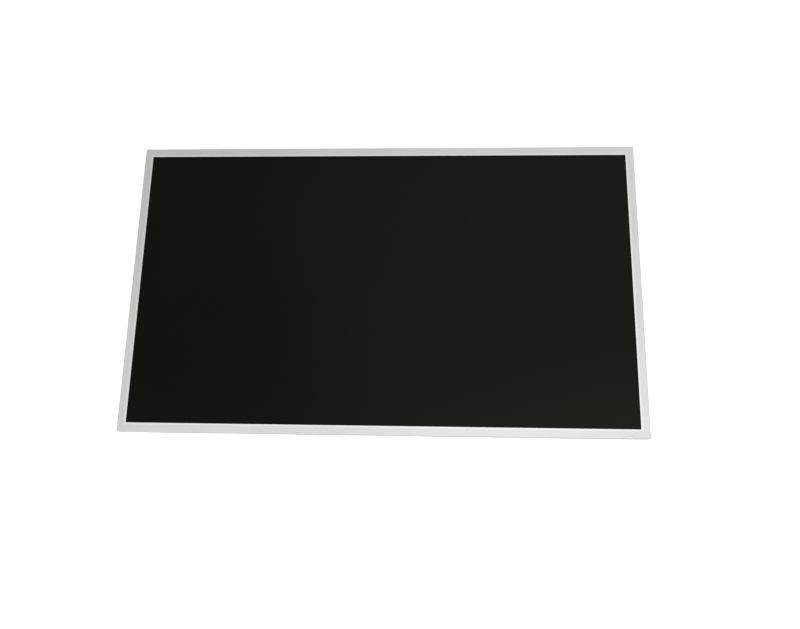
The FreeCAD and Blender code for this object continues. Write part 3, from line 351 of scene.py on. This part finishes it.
def board_laminate():
    """Green solder mask over copper: wide ground areas, long traces and small vias."""
    material, tree, shader = new_finish("board_laminate", Roughness=0.3)
    area_size, via_spacing, via_radius = 4.5 * MM, 2.6 * MM, 0.09
    wired_up_to, ground_from = 0.6, 0.68
    sockets = {"Vector": object_coords(tree, scale=(0.35, 1, 1)), "Scale": 1 / area_size}
    cells = add_node(tree, "ShaderNodeTexVoronoi", sockets, voronoi_dimensions="2D", distance="CHEBYCHEV")
    area = split(tree, cells.outputs["Color"])[0]
    ground = math_node(tree, "GREATER_THAN", area, ground_from)
    wired = math_node(tree, "LESS_THAN", area, wired_up_to)
    copper = math_node(tree, "MAXIMUM", times(tree, traces(tree), wired), ground)
    sockets = {"Vector": object_coords(tree), "Scale": 1 / via_spacing}
    points = add_node(tree, "ShaderNodeTexVoronoi", sockets)
    via = math_node(tree, "LESS_THAN", points.outputs["Distance"], via_radius)
    mask = mix_colors(tree, copper, (0.012, 0.085, 0.03), (0.024, 0.15, 0.052))
    paint(tree, shader, mix_colors(tree, via, mask, (0.13, 0.21, 0.1)))
    relief(tree, shader, copper, depth=0.02 * MM, strength=0.5)
    return material


def traces(tree):
    """1 on parallel copper lines along the board, which step aside at 45 degrees now and then."""
    lane_width, lane_shift = 3.1 * MM, 5.3
    run, straight, sidestep = 17 * MM, 6 * MM, 1.2 * MM
    half_pitch, half_gap = 0.2 * MM, 0.11 * MM
    x, y = split(tree, object_coords(tree))[:2]
    lane = math_node(tree, "SNAP", y, lane_width)
    along = plus(tree, x, times(tree, lane, lane_shift))
    climb = minus(tree, math_node(tree, "PINGPONG", along, run), straight)
    step = math_node(tree, "MINIMUM", math_node(tree, "MAXIMUM", climb, 0.0), sidestep)
    across = math_node(tree, "PINGPONG", plus(tree, y, step), half_pitch)
    return math_node(tree, "GREATER_THAN", across, half_gap)


# Finishes by slot: those with a function of their own name, clear sheets, and moulded materials
NAMED = (bezel_steel, rear_sheet, brass_insert, silver_tape, connector_metal, contact_metal,
         screen_face, cell_glass, polarizer_film, amber_film, board_laminate)
CLEAR = {
    "clear_film": {"color": (0.97, 0.97, 0.95), "roughness": 0.05, "ior": 1.3, "haze_size": 6 * MM},
    "clear_acrylic": {"color": (0.93, 0.95, 0.95), "roughness": 0.06, "ior": 1.49, "haze_size": 12 * MM},
    "optical_film": {"color": (0.9, 0.91, 0.91), "roughness": 0.45, "ior": 1.5, "haze_size": 0.3 * MM},
}
# Ranges of roughness
SMOOTH, SILKY, DULL = (0.12, 0.22), (0.3, 0.42), (0.6, 0.75)
MOULDED = {
    "white_frame": {"dark": (0.7, 0.7, 0.67), "light": (0.8, 0.8, 0.775)},
    "black_tape": {"dark": (0.012, 0.012, 0.012), "light": (0.022, 0.022, 0.022)},
    "silicone": {"dark": (0.27, 0.27, 0.28), "light": (0.36, 0.36, 0.37), "roughness": DULL},
    "bare_chip": {"dark": (0.035, 0.035, 0.042), "light": (0.06, 0.06, 0.07), "roughness": SMOOTH},
    "white_tape": {"dark": (0.66, 0.66, 0.63), "light": (0.78, 0.78, 0.75)},
    "chip_package": {"dark": (0.016, 0.016, 0.017), "light": (0.036, 0.036, 0.038), "grain": 0.07 * MM},
    "ferrite": {"dark": (0.04, 0.04, 0.042), "light": (0.085, 0.085, 0.09), "grain": 0.12 * MM},
    "capacitor_body": {"dark": (0.3, 0.2, 0.11), "light": (0.42, 0.3, 0.18), "grain": 0.1 * MM},
    "resistor_body": {"dark": (0.018, 0.018, 0.02), "light": (0.04, 0.04, 0.042), "grain": 0.1 * MM},
    "connector_plastic": {"dark": (0.6, 0.56, 0.45), "light": (0.72, 0.68, 0.57)},
    "white_reflector": {"dark": (0.78, 0.79, 0.8), "light": (0.86, 0.87, 0.88), "roughness": (0.3, 0.4)},
    "white_flex": {"dark": (0.68, 0.68, 0.66), "light": (0.8, 0.8, 0.78), "roughness": SILKY},
    "led_body": {"dark": (0.72, 0.62, 0.28), "light": (0.85, 0.78, 0.45), "roughness": SILKY},
}
finish = {make.__name__: make() for make in NAMED}
finish.update({slot: clear_sheet(slot, **look) for slot, look in CLEAR.items()})
finish.update({slot: moulded(slot, **look) for slot, look in MOULDED.items()})


def dress_solids():
    """Gives every solid of the frame the finish that its slot names."""
    for node, solid in frame["nodes"].items():
        solid.data.materials.clear()
        solid.data.materials.append(finish[SLOT_OF[node]])


dress_solids()

# Geometry trees


def new_tree(name, **sizes):
    """A geometry tree with a named input for each size, and the outputs of its group input by name."""
    tree = bpy.data.node_groups.new(name, "GeometryNodeTree")
    tree.interface.new_socket("Geometry", in_out="INPUT", socket_type="NodeSocketGeometry")
    for label, size in sizes.items():
        kind = "NodeSocketInt" if isinstance(size, int) else "NodeSocketFloat"
        socket = tree.interface.new_socket(label.replace("_", " "), in_out="INPUT", socket_type=kind)
        socket.default_value = size
    tree.interface.new_socket("Finish", in_out="INPUT", socket_type="NodeSocketMaterial")
    tree.interface.new_socket("Geometry", in_out="OUTPUT", socket_type="NodeSocketGeometry")
    return tree, tree.nodes.new("NodeGroupInput").outputs


def end_tree(tree, given, geometry):
    """Makes the copies real, gives them their finish and sends them out."""
    real = add_node(tree, "GeometryNodeRealizeInstances", {"Geometry": geometry})
    sockets = {"Geometry": real.outputs["Geometry"], "Material": given["Finish"]}
    dressed = add_node(tree, "GeometryNodeSetMaterial", sockets)
    tree.links.new(dressed.outputs["Geometry"], tree.nodes.new("NodeGroupOutput").inputs["Geometry"])
    return tree


def join(tree, *geometries):
    made = add_node(tree, "GeometryNodeJoinGeometry")
    for geometry in geometries:
        tree.links.new(geometry, made.inputs["Geometry"])
    return made.outputs["Geometry"]


def vector(tree, x=0.0, y=0.0, z=0.0):
    return add_node(tree, "ShaderNodeCombineXYZ", {"X": x, "Y": y, "Z": z}).outputs["Vector"]


def attribute(tree, name):
    """A vector that every point carries under a name."""
    made = add_node(tree, "GeometryNodeInputNamedAttribute", {"Name": name}, data_type="FLOAT_VECTOR")
    return made.outputs["Attribute"]


def turned(tree, geometry, angle):
    """Geometry turned about z."""
    sockets = {"Geometry": geometry, "Rotation": (0.0, 0.0, angle)}
    return add_node(tree, "GeometryNodeTransform", sockets).outputs["Geometry"]


def placed(tree, geometry, **places):
    """Geometry with its points moved to a Position or by an Offset."""
    sockets = {"Geometry": geometry, **places}
    return add_node(tree, "GeometryNodeSetPosition", sockets).outputs["Geometry"]


def copies(tree, points, shape, **changes):
    """A copy of a shape on every point, with a Scale or a Rotation if one is given."""
    sockets = {"Points": points, "Instance": shape, **changes}
    return add_node(tree, "GeometryNodeInstanceOnPoints", sockets).outputs["Instances"]


def row(tree, count, pitch, across=0.0):
    """Points in a row along x, centred, at a distance across."""
    reach = times(tree, minus(tree, count, 1.0), pitch)
    start = vector(tree, times(tree, reach, -0.5), across)
    sockets = {"Count": count, "Start Location": start, "Offset": vector(tree, pitch)}
    return add_node(tree, "GeometryNodeMeshLine", sockets).outputs["Mesh"]


def rectangle(tree, width, height):
    sockets = {"Width": width, "Height": height}
    return add_node(tree, "GeometryNodeCurvePrimitiveQuadrilateral", sockets).outputs["Curve"]


def swept(tree, curve, section, capped=True):
    """A solid that a section draws along a curve."""
    sockets = {"Curve": curve, "Profile Curve": section, "Fill Caps": capped}
    return add_node(tree, "GeometryNodeCurveToMesh", sockets).outputs["Mesh"]


def rounded_bar(tree, corner=0.18):
    """A closed bar of unit size along x, with its four long edges rounded."""
    sockets = {"Curve": rectangle(tree, 1.0, 1.0), "Radius": corner, "Count": 3}
    section = add_node(tree, "GeometryNodeFilletCurve", sockets, mode="POLY")
    sockets = {"Start": (-0.5, 0.0, 0.0), "End": (0.5, 0.0, 0.0)}
    spine = add_node(tree, "GeometryNodeCurvePrimitiveLine", sockets)
    return swept(tree, spine.outputs["Curve"], section.outputs["Curve"])


def solder_ends_tree():
    """A tinned cap over each end of a small part. Every point carries its part's size."""
    tree, given = new_tree("solder_ends", Cap=0.25 * MM, Skin=0.015 * MM)
    length, width, height = split(tree, attribute(tree, "extent"))
    double = times(tree, given["Skin"], 2.0)
    size = vector(tree, *(plus(tree, side, double) for side in (given["Cap"], width, height)))
    reach = times(tree, minus(tree, length, given["Cap"]), 0.5)
    cap = rounded_bar(tree)
    ends = []
    for way in (1.0, -1.0):
        moved = placed(tree, given["Geometry"], Offset=vector(tree, times(tree, reach, way)))
        ends.append(copies(tree, moved, cap, Scale=size))
    return end_tree(tree, given, join(tree, *ends))


def package_lands_tree():
    """Soldered lands that show along the four edges of a flat package."""
    tree, given = new_tree("package_lands", Length=8.0 * MM, Width=8.0 * MM, Along=16, Across=16,
                           Pitch=0.4 * MM, Land_Length=0.5 * MM, Land_Width=0.22 * MM, Thickness=0.1 * MM)
    bar = rounded_bar(tree)
    size = vector(tree, given["Land Width"], given["Land Length"], given["Thickness"])
    sides = []
    for count, across, turn in (("Along", "Width", 0.0), ("Across", "Length", math.pi / 2)):
        places = row(tree, given[count], given["Pitch"], times(tree, given[across], 0.5))
        side = copies(tree, places, bar, Scale=size)
        sides += [turned(tree, side, turn + half) for half in (0.0, math.pi)]
    return end_tree(tree, given, copies(tree, given["Geometry"], join(tree, *sides)))


def bent_leads_tree():
    """Leads that leave a package's long sides and bend down to the board."""
    tree, given = new_tree("bent_leads", Count=4, Pitch=0.65 * MM, Width=4.4 * MM, Level=0.4 * MM,
                           Reach=1.0 * MM, Lead_Width=0.25 * MM, Thickness=0.12 * MM)
    face = times(tree, given["Width"], 0.5)
    tip = plus(tree, face, given["Reach"])
    bend = plus(tree, face, times(tree, given["Reach"], 0.6))
    curl = plus(tree, face, times(tree, given["Reach"], 0.15))
    top = times(tree, given["Level"], -1.0)
    foot = times(tree, given["Thickness"], -0.5)
    sockets = {"Start": vector(tree, 0.0, face, top), "Start Handle": vector(tree, 0.0, bend, top),
               "End Handle": vector(tree, 0.0, curl, foot), "End": vector(tree, 0.0, tip, foot),
               "Resolution": 9}
    line = add_node(tree, "GeometryNodeCurvePrimitiveBezierSegment", sockets)
    section = rectangle(tree, given["Lead Width"], given["Thickness"])
    lead = swept(tree, line.outputs["Curve"], section)
    side = copies(tree, row(tree, given["Count"], given["Pitch"]), lead)
    both = join(tree, side, turned(tree, side, math.pi))
    return end_tree(tree, given, copies(tree, given["Geometry"], both))


def round_lands_tree():
    """Flat round lands for test probes."""
    tree, given = new_tree("round_lands", Radius=0.45 * MM, Thickness=0.03 * MM)
    sockets = {"Vertices": 16, "Radius": given["Radius"], "Depth": given["Thickness"]}
    land = add_node(tree, "GeometryNodeMeshCylinder", sockets).outputs["Mesh"]
    return end_tree(tree, given, copies(tree, given["Geometry"], land))


def hole_rings_tree():
    """Bare copper rings round the board's holes."""
    tree, given = new_tree("hole_rings", Radius=1.35 * MM, Width=0.6 * MM, Thickness=0.03 * MM)
    sockets = {"Resolution": 40, "Radius": given["Radius"]}
    line = add_node(tree, "GeometryNodeCurvePrimitiveCircle", sockets).outputs["Curve"]
    ring = swept(tree, line, rectangle(tree, given["Width"], given["Thickness"]), capped=False)
    return end_tree(tree, given, copies(tree, given["Geometry"], ring))


def solder_beads_tree():
    """A low bead of solder on every point."""
    tree, given = new_tree("solder_beads", Length=0.6 * MM, Width=0.34 * MM, Height=0.22 * MM)
    bead = add_node(tree, "GeometryNodeMeshIcoSphere", {"Radius": 0.5, "Subdivisions": 2}).outputs["Mesh"]
    size = vector(tree, given["Width"], given["Length"], given["Height"])
    return end_tree(tree, given, copies(tree, given["Geometry"], bead, Scale=size))


def revolved(tree, steps, around, profile):
    """A surface turned about x. The profile gives its place along x and its radius, from two shares of 1."""
    sockets = {"Size X": 1.0, "Size Y": 1.0, "Vertices X": steps, "Vertices Y": around}
    grid = add_node(tree, "GeometryNodeMeshGrid", sockets).outputs["Mesh"]
    u, v = split(tree, add_node(tree, "GeometryNodeInputPosition").outputs["Position"])[:2]
    run = plus(tree, u, 0.5)
    share = plus(tree, v, 0.5)
    angle = times(tree, share, 2 * math.pi)
    along, radius = profile(run, share)
    y = times(tree, radius, math_node(tree, "COSINE", angle))
    z = times(tree, radius, math_node(tree, "SINE", angle))
    return placed(tree, grid, Position=vector(tree, along, y, z))


def threaded_inserts_tree():
    """Knurled inserts with a real thread in the bore, their outer faces on the points."""
    tree, given = new_tree("threaded_inserts", Length=1.8 * MM, Radius=1.5 * MM, Bore=0.8 * MM,
                           Depth=0.2 * MM, Pitch=0.4 * MM, Knurl=0.05 * MM, Knurls=30)
    thread_runout, knurl_runout = 12.0, 6.0

    def fade(run, rate):
        """0 at both ends of the insert, rising to 1 at the given rate."""
        return math_node(tree, "MINIMUM", times(tree, math_node(tree, "PINGPONG", run, 0.5), rate), 1.0)

    def thread(run, share):
        """The wall of the bore, with a groove that winds along it."""
        along = times(tree, run, given["Length"])
        turns = plus(tree, math_node(tree, "DIVIDE", along, given["Pitch"]), share)
        wave = math_node(tree, "PINGPONG", times(tree, turns, 2.0), 1.0)
        groove = times(tree, times(tree, wave, fade(run, thread_runout)), given["Depth"])
        return along, plus(tree, given["Bore"], groove)

    def barrel(run, share):
        """The outside, with straight knurls."""
        along = times(tree, run, given["Length"])
        wave = math_node(tree, "PINGPONG", times(tree, share, given["Knurls"]), 0.5)
        cut = times(tree, times(tree, wave, fade(run, knurl_runout)), given["Knurl"])
        return along, minus(tree, given["Radius"], cut)

    def face(end):
        """The ring at one end, 0 or 1."""
        def profile(run, share):
            width = minus(tree, given["Radius"], given["Bore"])
            radius = plus(tree, given["Bore"], times(tree, run, width))
            return times(tree, given["Length"], end), radius
        return profile

    around, thread_steps, barrel_steps, face_steps = 61, 73, 7, 3
    walls = [revolved(tree, thread_steps, around, thread), revolved(tree, barrel_steps, around, barrel)]
    walls += [revolved(tree, face_steps, around, face(end)) for end in (0.0, 1.0)]
    sockets = {"Geometry": join(tree, *walls), "Distance": SAME_POINT}
    closed = add_node(tree, "GeometryNodeMergeByDistance", sockets).outputs["Geometry"]
    inserts = copies(tree, given["Geometry"], closed, Rotation=attribute(tree, "turn"))
    return end_tree(tree, given, inserts)


# Fine pieces


def new_object(name, data):
    """An object at the origin, linked to the scene."""
    made = bpy.data.objects.new(name, data)
    bpy.context.scene.collection.objects.link(made)
    return made


def keep_result(piece, modifier):
    """Applies a modifier to the piece's mesh and turns the faces outwards."""
    evaluated = piece.evaluated_get(bpy.context.evaluated_depsgraph_get())
    piece.data = bpy.data.meshes.new_from_object(evaluated)
    piece.modifiers.remove(modifier)
    work = bmesh.new()
    work.from_mesh(piece.data)
    bmesh.ops.recalc_face_normals(work, faces=work.faces)
    work.to_mesh(piece.data)
    work.free()


def grow(name, tree, points, slot, vectors=None, **sizes):
    """Runs a tree on points, keeps the result as a plain mesh and fixes it to the module."""
    mesh = bpy.data.meshes.new(name)
    mesh.from_pydata(points, [], [])
    for label, values in (vectors or {}).items():
        carried = mesh.attributes.new(label, "FLOAT_VECTOR", "POINT")
        carried.data.foreach_set("vector", [part for value in values for part in value])
    piece = new_object(name, mesh)
    modifier = piece.modifiers.new(name, "NODES")
    modifier.node_group = tree
    settings = {label.replace("_", " "): size for label, size in sizes.items()}
    settings["Finish"] = finish[slot]
    for item in tree.interface.items_tree:
        if item.in_out == "INPUT" and item.name in settings:
            modifier[item.identifier] = settings[item.name]
    keep_result(piece, modifier)
    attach(piece, BODY)
    return piece


def separate_boxes(node):
    """The lowest and highest corner of each separate solid in a node."""
    work = bmesh.new()
    work.from_mesh(frame["nodes"][node].data)
    bmesh.ops.remove_doubles(work, verts=work.verts, dist=SAME_POINT)
    boxes, left = [], set(work.verts)
    while left:
        island, edge = set(), {left.pop()}
        while edge:
            island |= edge
            edge = {link.other_vert(vert) for vert in edge for link in vert.link_edges} - island
        left -= island
        places = [vert.co for vert in island]
        boxes.append((Vector(min(place[axis] for place in places) for axis in range(3)),
                      Vector(max(place[axis] for place in places) for axis in range(3))))
    work.free()
    return sorted(boxes, key=lambda box: tuple(round(part, 6) for part in box[0]))


def make_solder_ends():
    """Tinned ends on the capacitors, resistors and coils."""
    tree = solder_ends_tree()
    skin = 0.015 * MM
    caps = {"chip_capacitors": 0.26 * MM, "chip_resistors": 0.22 * MM, "power_inductors": 0.7 * MM}
    for node, cap in caps.items():
        boxes = separate_boxes(node)
        middles = [(low + high) / 2 - Vector((0, 0, skin)) for low, high in boxes]
        extents = [high - low for low, high in boxes]
        grow(f"{node}_ends", tree, middles, "connector_metal", {"extent": extents}, Cap=cap, Skin=skin)


def on_board(node, rise):
    """The middle of a package, at a height over the board's rear face."""
    low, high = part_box(node)
    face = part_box("driver_board")[0].z
    return Vector(((low.x + high.x) / 2, (low.y + high.y) / 2, face - rise))


def make_package_leads():
    """Lands round the flat packages and bent leads on the memory."""
    tree = package_lands_tree()
    land_rise = 0.05 * MM
    packages = {"timing_controller": (17, 0.4 * MM), "power_converter": (5, 0.65 * MM),
                "led_driver": (5, 0.65 * MM), "gamma_buffer": (8, 0.5 * MM)}
    for node, (count, pitch) in packages.items():
        low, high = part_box(node)
        size = high - low
        grow(f"{node}_lands", tree, [on_board(node, land_rise)], "connector_metal",
             Length=size.x, Width=size.y, Along=count, Across=count, Pitch=pitch)
    low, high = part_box("memory_chip")
    grow("memory_chip_leads", bent_leads_tree(), [on_board("memory_chip", 0.0)], "connector_metal",
         Width=high.y - low.y)


# Test lands along the board in mm from its middle, in groups between the parts
LOWER_LANDS = (-146, -110, -108, -106, -82, -80, -30, -26, -22, -4, 0, 4, 8,
               58, 60, 62, 64, 66, 106, 108, 110)
UPPER_LANDS = (-136, -132, -128, -84, -80, -76, -72, -20, -16, 4, 8, 12, 16)
BOARD_MARGIN = 1.4 * MM
COPPER = 0.03 * MM


def make_board_copper():
    """Test lands along the board's edges, where no driver film covers them, and rings round its holes."""
    low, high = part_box("driver_board")
    level = low.z - COPPER / 2
    upper_margin, hole_margin, film_margin = 1.3 * MM, 3 * MM, 1 * MM
    films = separate_boxes("source_films")

    def covered(x):
        return any(film_low.x - film_margin < x < film_high.x + film_margin for film_low, film_high in films)

    lands = [(x * MM, low.y + BOARD_MARGIN, level) for x in LOWER_LANDS if not covered(x * MM)]
    lands += [(x * MM, high.y - upper_margin, level) for x in UPPER_LANDS]
    grow("test_lands", round_lands_tree(), lands, "contact_metal", Thickness=COPPER)
    holes = [(way * (high.x - hole_margin), (low.y + high.y) / 2, level) for way in (-1, 1)]
    grow("hole_rings", hole_rings_tree(), holes, "contact_metal", Thickness=COPPER)


def make_solder_beads():
    """Solder on the socket's contacts and on the tail of the LED strip."""
    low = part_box("driver_board")[0]
    tree = solder_beads_tree()
    overlap, sink = 0.25 * MM, 0.08 * MM
    contacts = separate_boxes("signal_contacts")
    ends = [((a.x + b.x) / 2, a.y + overlap, b.z - sink) for a, b in contacts]
    grow("contact_solder", tree, ends, "connector_metal")
    tail_x, tail_rise, bond_count, bond_pitch = -102 * MM, 0.15 * MM, 8, 1.15 * MM
    middle = (bond_count - 1) / 2
    bonds = [(tail_x + (step - middle) * bond_pitch, low.y + BOARD_MARGIN, low.z - tail_rise)
             for step in range(bond_count)]
    grow("tail_solder", tree, bonds, "connector_metal", Length=0.9 * MM, Width=0.7 * MM, Height=0.14 * MM)


def make_threaded_inserts():
    """The brass inserts, with the thread that the plain bores stand for."""
    faces, turns = [], []
    for low, high in separate_boxes("side_nut_inserts"):
        right = low.x > 0
        faces.append((high.x if right else low.x, (low.y + high.y) / 2, (low.z + high.z) / 2))
        turns.append((0.0, 0.0, math.pi if right else 0.0))
    inserts = grow("threaded_inserts", threaded_inserts_tree(), faces, "brass_insert", {"turn": turns})
    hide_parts("side_nut_inserts")


def ripple_at(x):
    """How far the clear film stands off its flat shape at a place along the board."""
    height, wave, swell = 0.012 * MM, 7.3 * MM, 19 * MM
    return height * (1 + math.sin(x / wave) * math.cos(x / swell))


def cover_film_mesh():
    """The middle surface of the clear film, cut away round the socket."""
    low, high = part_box("board_cover_film")
    housing_low, housing_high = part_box("signal_connector_housing")
    overhang, slope, bay_margin, steps = 1.5 * MM, 1.6 * MM, 3 * MM, 150
    bend_length, bend_drop, grip = 0.4 * MM, 0.04 * MM, 0.08 * MM
    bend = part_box("driver_board")[1].y + overhang
    foot = bend + slope
    bay_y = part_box("signal_contacts")[0].y - overhang
    bay_left, bay_right = housing_low.x - bay_margin, housing_high.x + bay_margin
    grip_z = high.z - grip
    section = [(low.y, low.z), (bay_y, low.z), (bend - bend_length, low.z), (bend, low.z + bend_drop),
               (foot, grip_z - bend_drop), (foot + bend_length, grip_z), (high.y, grip_z)]
    ripple_shares = (1, 1, 0.5, 0, 0, 0, 0)
    even = {low.x + (high.x - low.x) * step / steps for step in range(steps + 1)}
    stations = sorted(even | {bay_left, bay_right})
    work = bmesh.new()
    rows = []
    for x in stations:
        lifts = [share * ripple_at(x) for share in ripple_shares]
        rows.append([work.verts.new((x, y, z + lift)) for (y, z), lift in zip(section, lifts)])
    for x, here, there in zip(stations, rows, rows[1:]):
        in_bay = bay_left <= x < bay_right
        for step in range(1 if in_bay else len(section) - 1):
            work.faces.new((here[step], there[step], there[step + 1], here[step + 1]))
    bmesh.ops.delete(work, geom=[vert for vert in work.verts if not vert.link_faces], context="VERTS")
    mesh = bpy.data.meshes.new("clear_cover_film")
    work.to_mesh(mesh)
    work.free()
    return mesh


def make_cover_film():
    """The clear film over the board: flat, folded down to the back cover, and never quite even."""
    film = new_object("clear_cover_film", cover_film_mesh())
    wall = film.modifiers.new("thickness", "SOLIDIFY")
    wall.thickness = 0.06 * MM
    wall.offset = 1.0
    keep_result(film, wall)
    film.data.materials.append(finish["clear_film"])
    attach(film, BODY)
    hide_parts("board_cover_film")


make_solder_ends()
make_package_leads()
make_board_copper()
make_solder_beads()
make_threaded_inserts()
make_cover_film()

# Stage, light and camera


def make_floor():
    """A white table with an opening under the module, so that light reaches the back as well."""
    low, high = cad_box
    inset, drop, reach = 0.2 * MM, 0.2 * MM, 4.0
    corners = ((-1, -1), (1, -1), (1, 1), (-1, 1))
    points = []
    for half_x, half_y in ((reach, reach), (high.x - inset, high.y - inset)):
        points += [(x * half_x, y * half_y, low.z - drop) for x, y in corners]
    faces = [(side, (side + 1) % 4, (side + 1) % 4 + 4, side + 4) for side in range(4)]
    mesh = bpy.data.meshes.new("table_top")
    mesh.from_pydata(points, [], faces)
    table_top = new_object("table_top", mesh)
    mesh.materials.append(table_finish())


def seen_rays(tree):
    """1 for what the camera sees, also mirrored or through glass. 0 for light that falls on matt surfaces."""
    rays = add_node(tree, "ShaderNodeLightPath").outputs
    seen = math_node(tree, "MAXIMUM", rays["Is Camera Ray"], rays["Is Glossy Ray"])
    return math_node(tree, "MAXIMUM", seen, rays["Is Transmission Ray"])


def table_finish():
    """White from above, with the shadow kept, and clear from below."""
    material = bpy.data.materials.new("table_finish")
    material.use_nodes = True
    tree = material.node_tree
    tree.nodes.remove(tree.nodes["Principled BSDF"])
    near, far, near_lift, far_lift = 0.4, 2.5, 0.18, 0.6
    distance = add_node(tree, "ShaderNodeVectorMath", {0: object_coords(tree)}, operation="LENGTH")
    lift = remap(tree, distance.outputs["Value"], near_lift, far_lift, start=near, end=far)
    matt = add_node(tree, "ShaderNodeBsdfDiffuse", {"Color": (0.86, 0.86, 0.86, 1)})
    glow = add_node(tree, "ShaderNodeEmission", {"Strength": times(tree, seen_rays(tree), lift)})
    lit = add_node(tree, "ShaderNodeAddShader", {0: matt.outputs["BSDF"], 1: glow.outputs["Emission"]})
    clear = add_node(tree, "ShaderNodeBsdfTransparent")
    side = add_node(tree, "ShaderNodeNewGeometry")
    sockets = {"Fac": side.outputs["Backfacing"], 1: lit.outputs["Shader"], 2: clear.outputs["BSDF"]}
    choose = add_node(tree, "ShaderNodeMixShader", sockets)
    tree.links.new(choose.outputs["Shader"], tree.nodes["Material Output"].inputs["Surface"])
    return material


def make_world():
    """White all round where it is seen or mirrored, and softer as a light, the more so from below."""
    world = bpy.data.worlds.new("studio")
    bpy.context.scene.world = world
    world.use_nodes = True
    tree = world.node_tree
    from_below, from_above = 0.36, 0.62
    height = split(tree, add_node(tree, "ShaderNodeTexCoord").outputs["Generated"])[2]
    as_light = remap(tree, height, from_below, from_above, start=-1.0, end=0.0)
    background = tree.nodes["Background"]
    background.inputs["Color"].default_value = (1, 1, 1, 1)
    tree.links.new(math_node(tree, "MAXIMUM", as_light, seen_rays(tree)), background.inputs["Strength"])


# Square lamps: place in metres, side length in metres, and brightness where the white surroundings are 1
LAMPS = {
    "softbox_near": ((0.56, 0.18, 1.2), 1.7, 0.85),
    "softbox_front": ((0.16, -0.57, 1.1), 1.26, 1.5),
    "softbox_left": ((-0.88, -0.62, 1.1), 0.8, 3.2),
    "softbox_below": ((-0.7, 0.6, -0.9), 0.9, 0.45),
}


def make_lamps():
    """Soft lamps that all face the module."""
    for name, (place, size, brightness) in LAMPS.items():
        data = bpy.data.lights.new(name, "AREA")
        data.shape = "SQUARE"
        data.size = size
        data.energy = brightness * math.pi * size * size
        lamp = new_object(name, data)
        lamp.location = place
        lamp.rotation_euler = (-Vector(place)).to_track_quat("-Z", "Y").to_euler()


def make_camera():
    """Above the near edge, looking down and a little to the side, as the photograph does."""
    data = bpy.data.cameras.new("photo_camera")
    image_width, focal_length = 800, 736.4
    data.sensor_width = 36.0
    data.lens = data.sensor_width * focal_length / image_width
    data.clip_start = 0.01
    camera = new_object("photo_camera", data)
    pitch, yaw, roll = (math.radians(angle) for angle in (13.65, 2.92, 0.36))
    turn = Matrix.Rotation(pitch, 4, "X") @ Matrix.Rotation(yaw, 4, "Y") @ Matrix.Rotation(roll, 4, "Z")
    above_screen = Vector((38.88, -142.11, 497.12)) * MM
    camera.matrix_world = Matrix.Translation(above_screen + Vector((0, 0, cad_box[1].z))) @ turn
    bpy.context.scene.camera = camera


make_floor()
make_world()
make_lamps()
make_camera()
bpy.context.scene.view_settings.view_transform = "Standard"
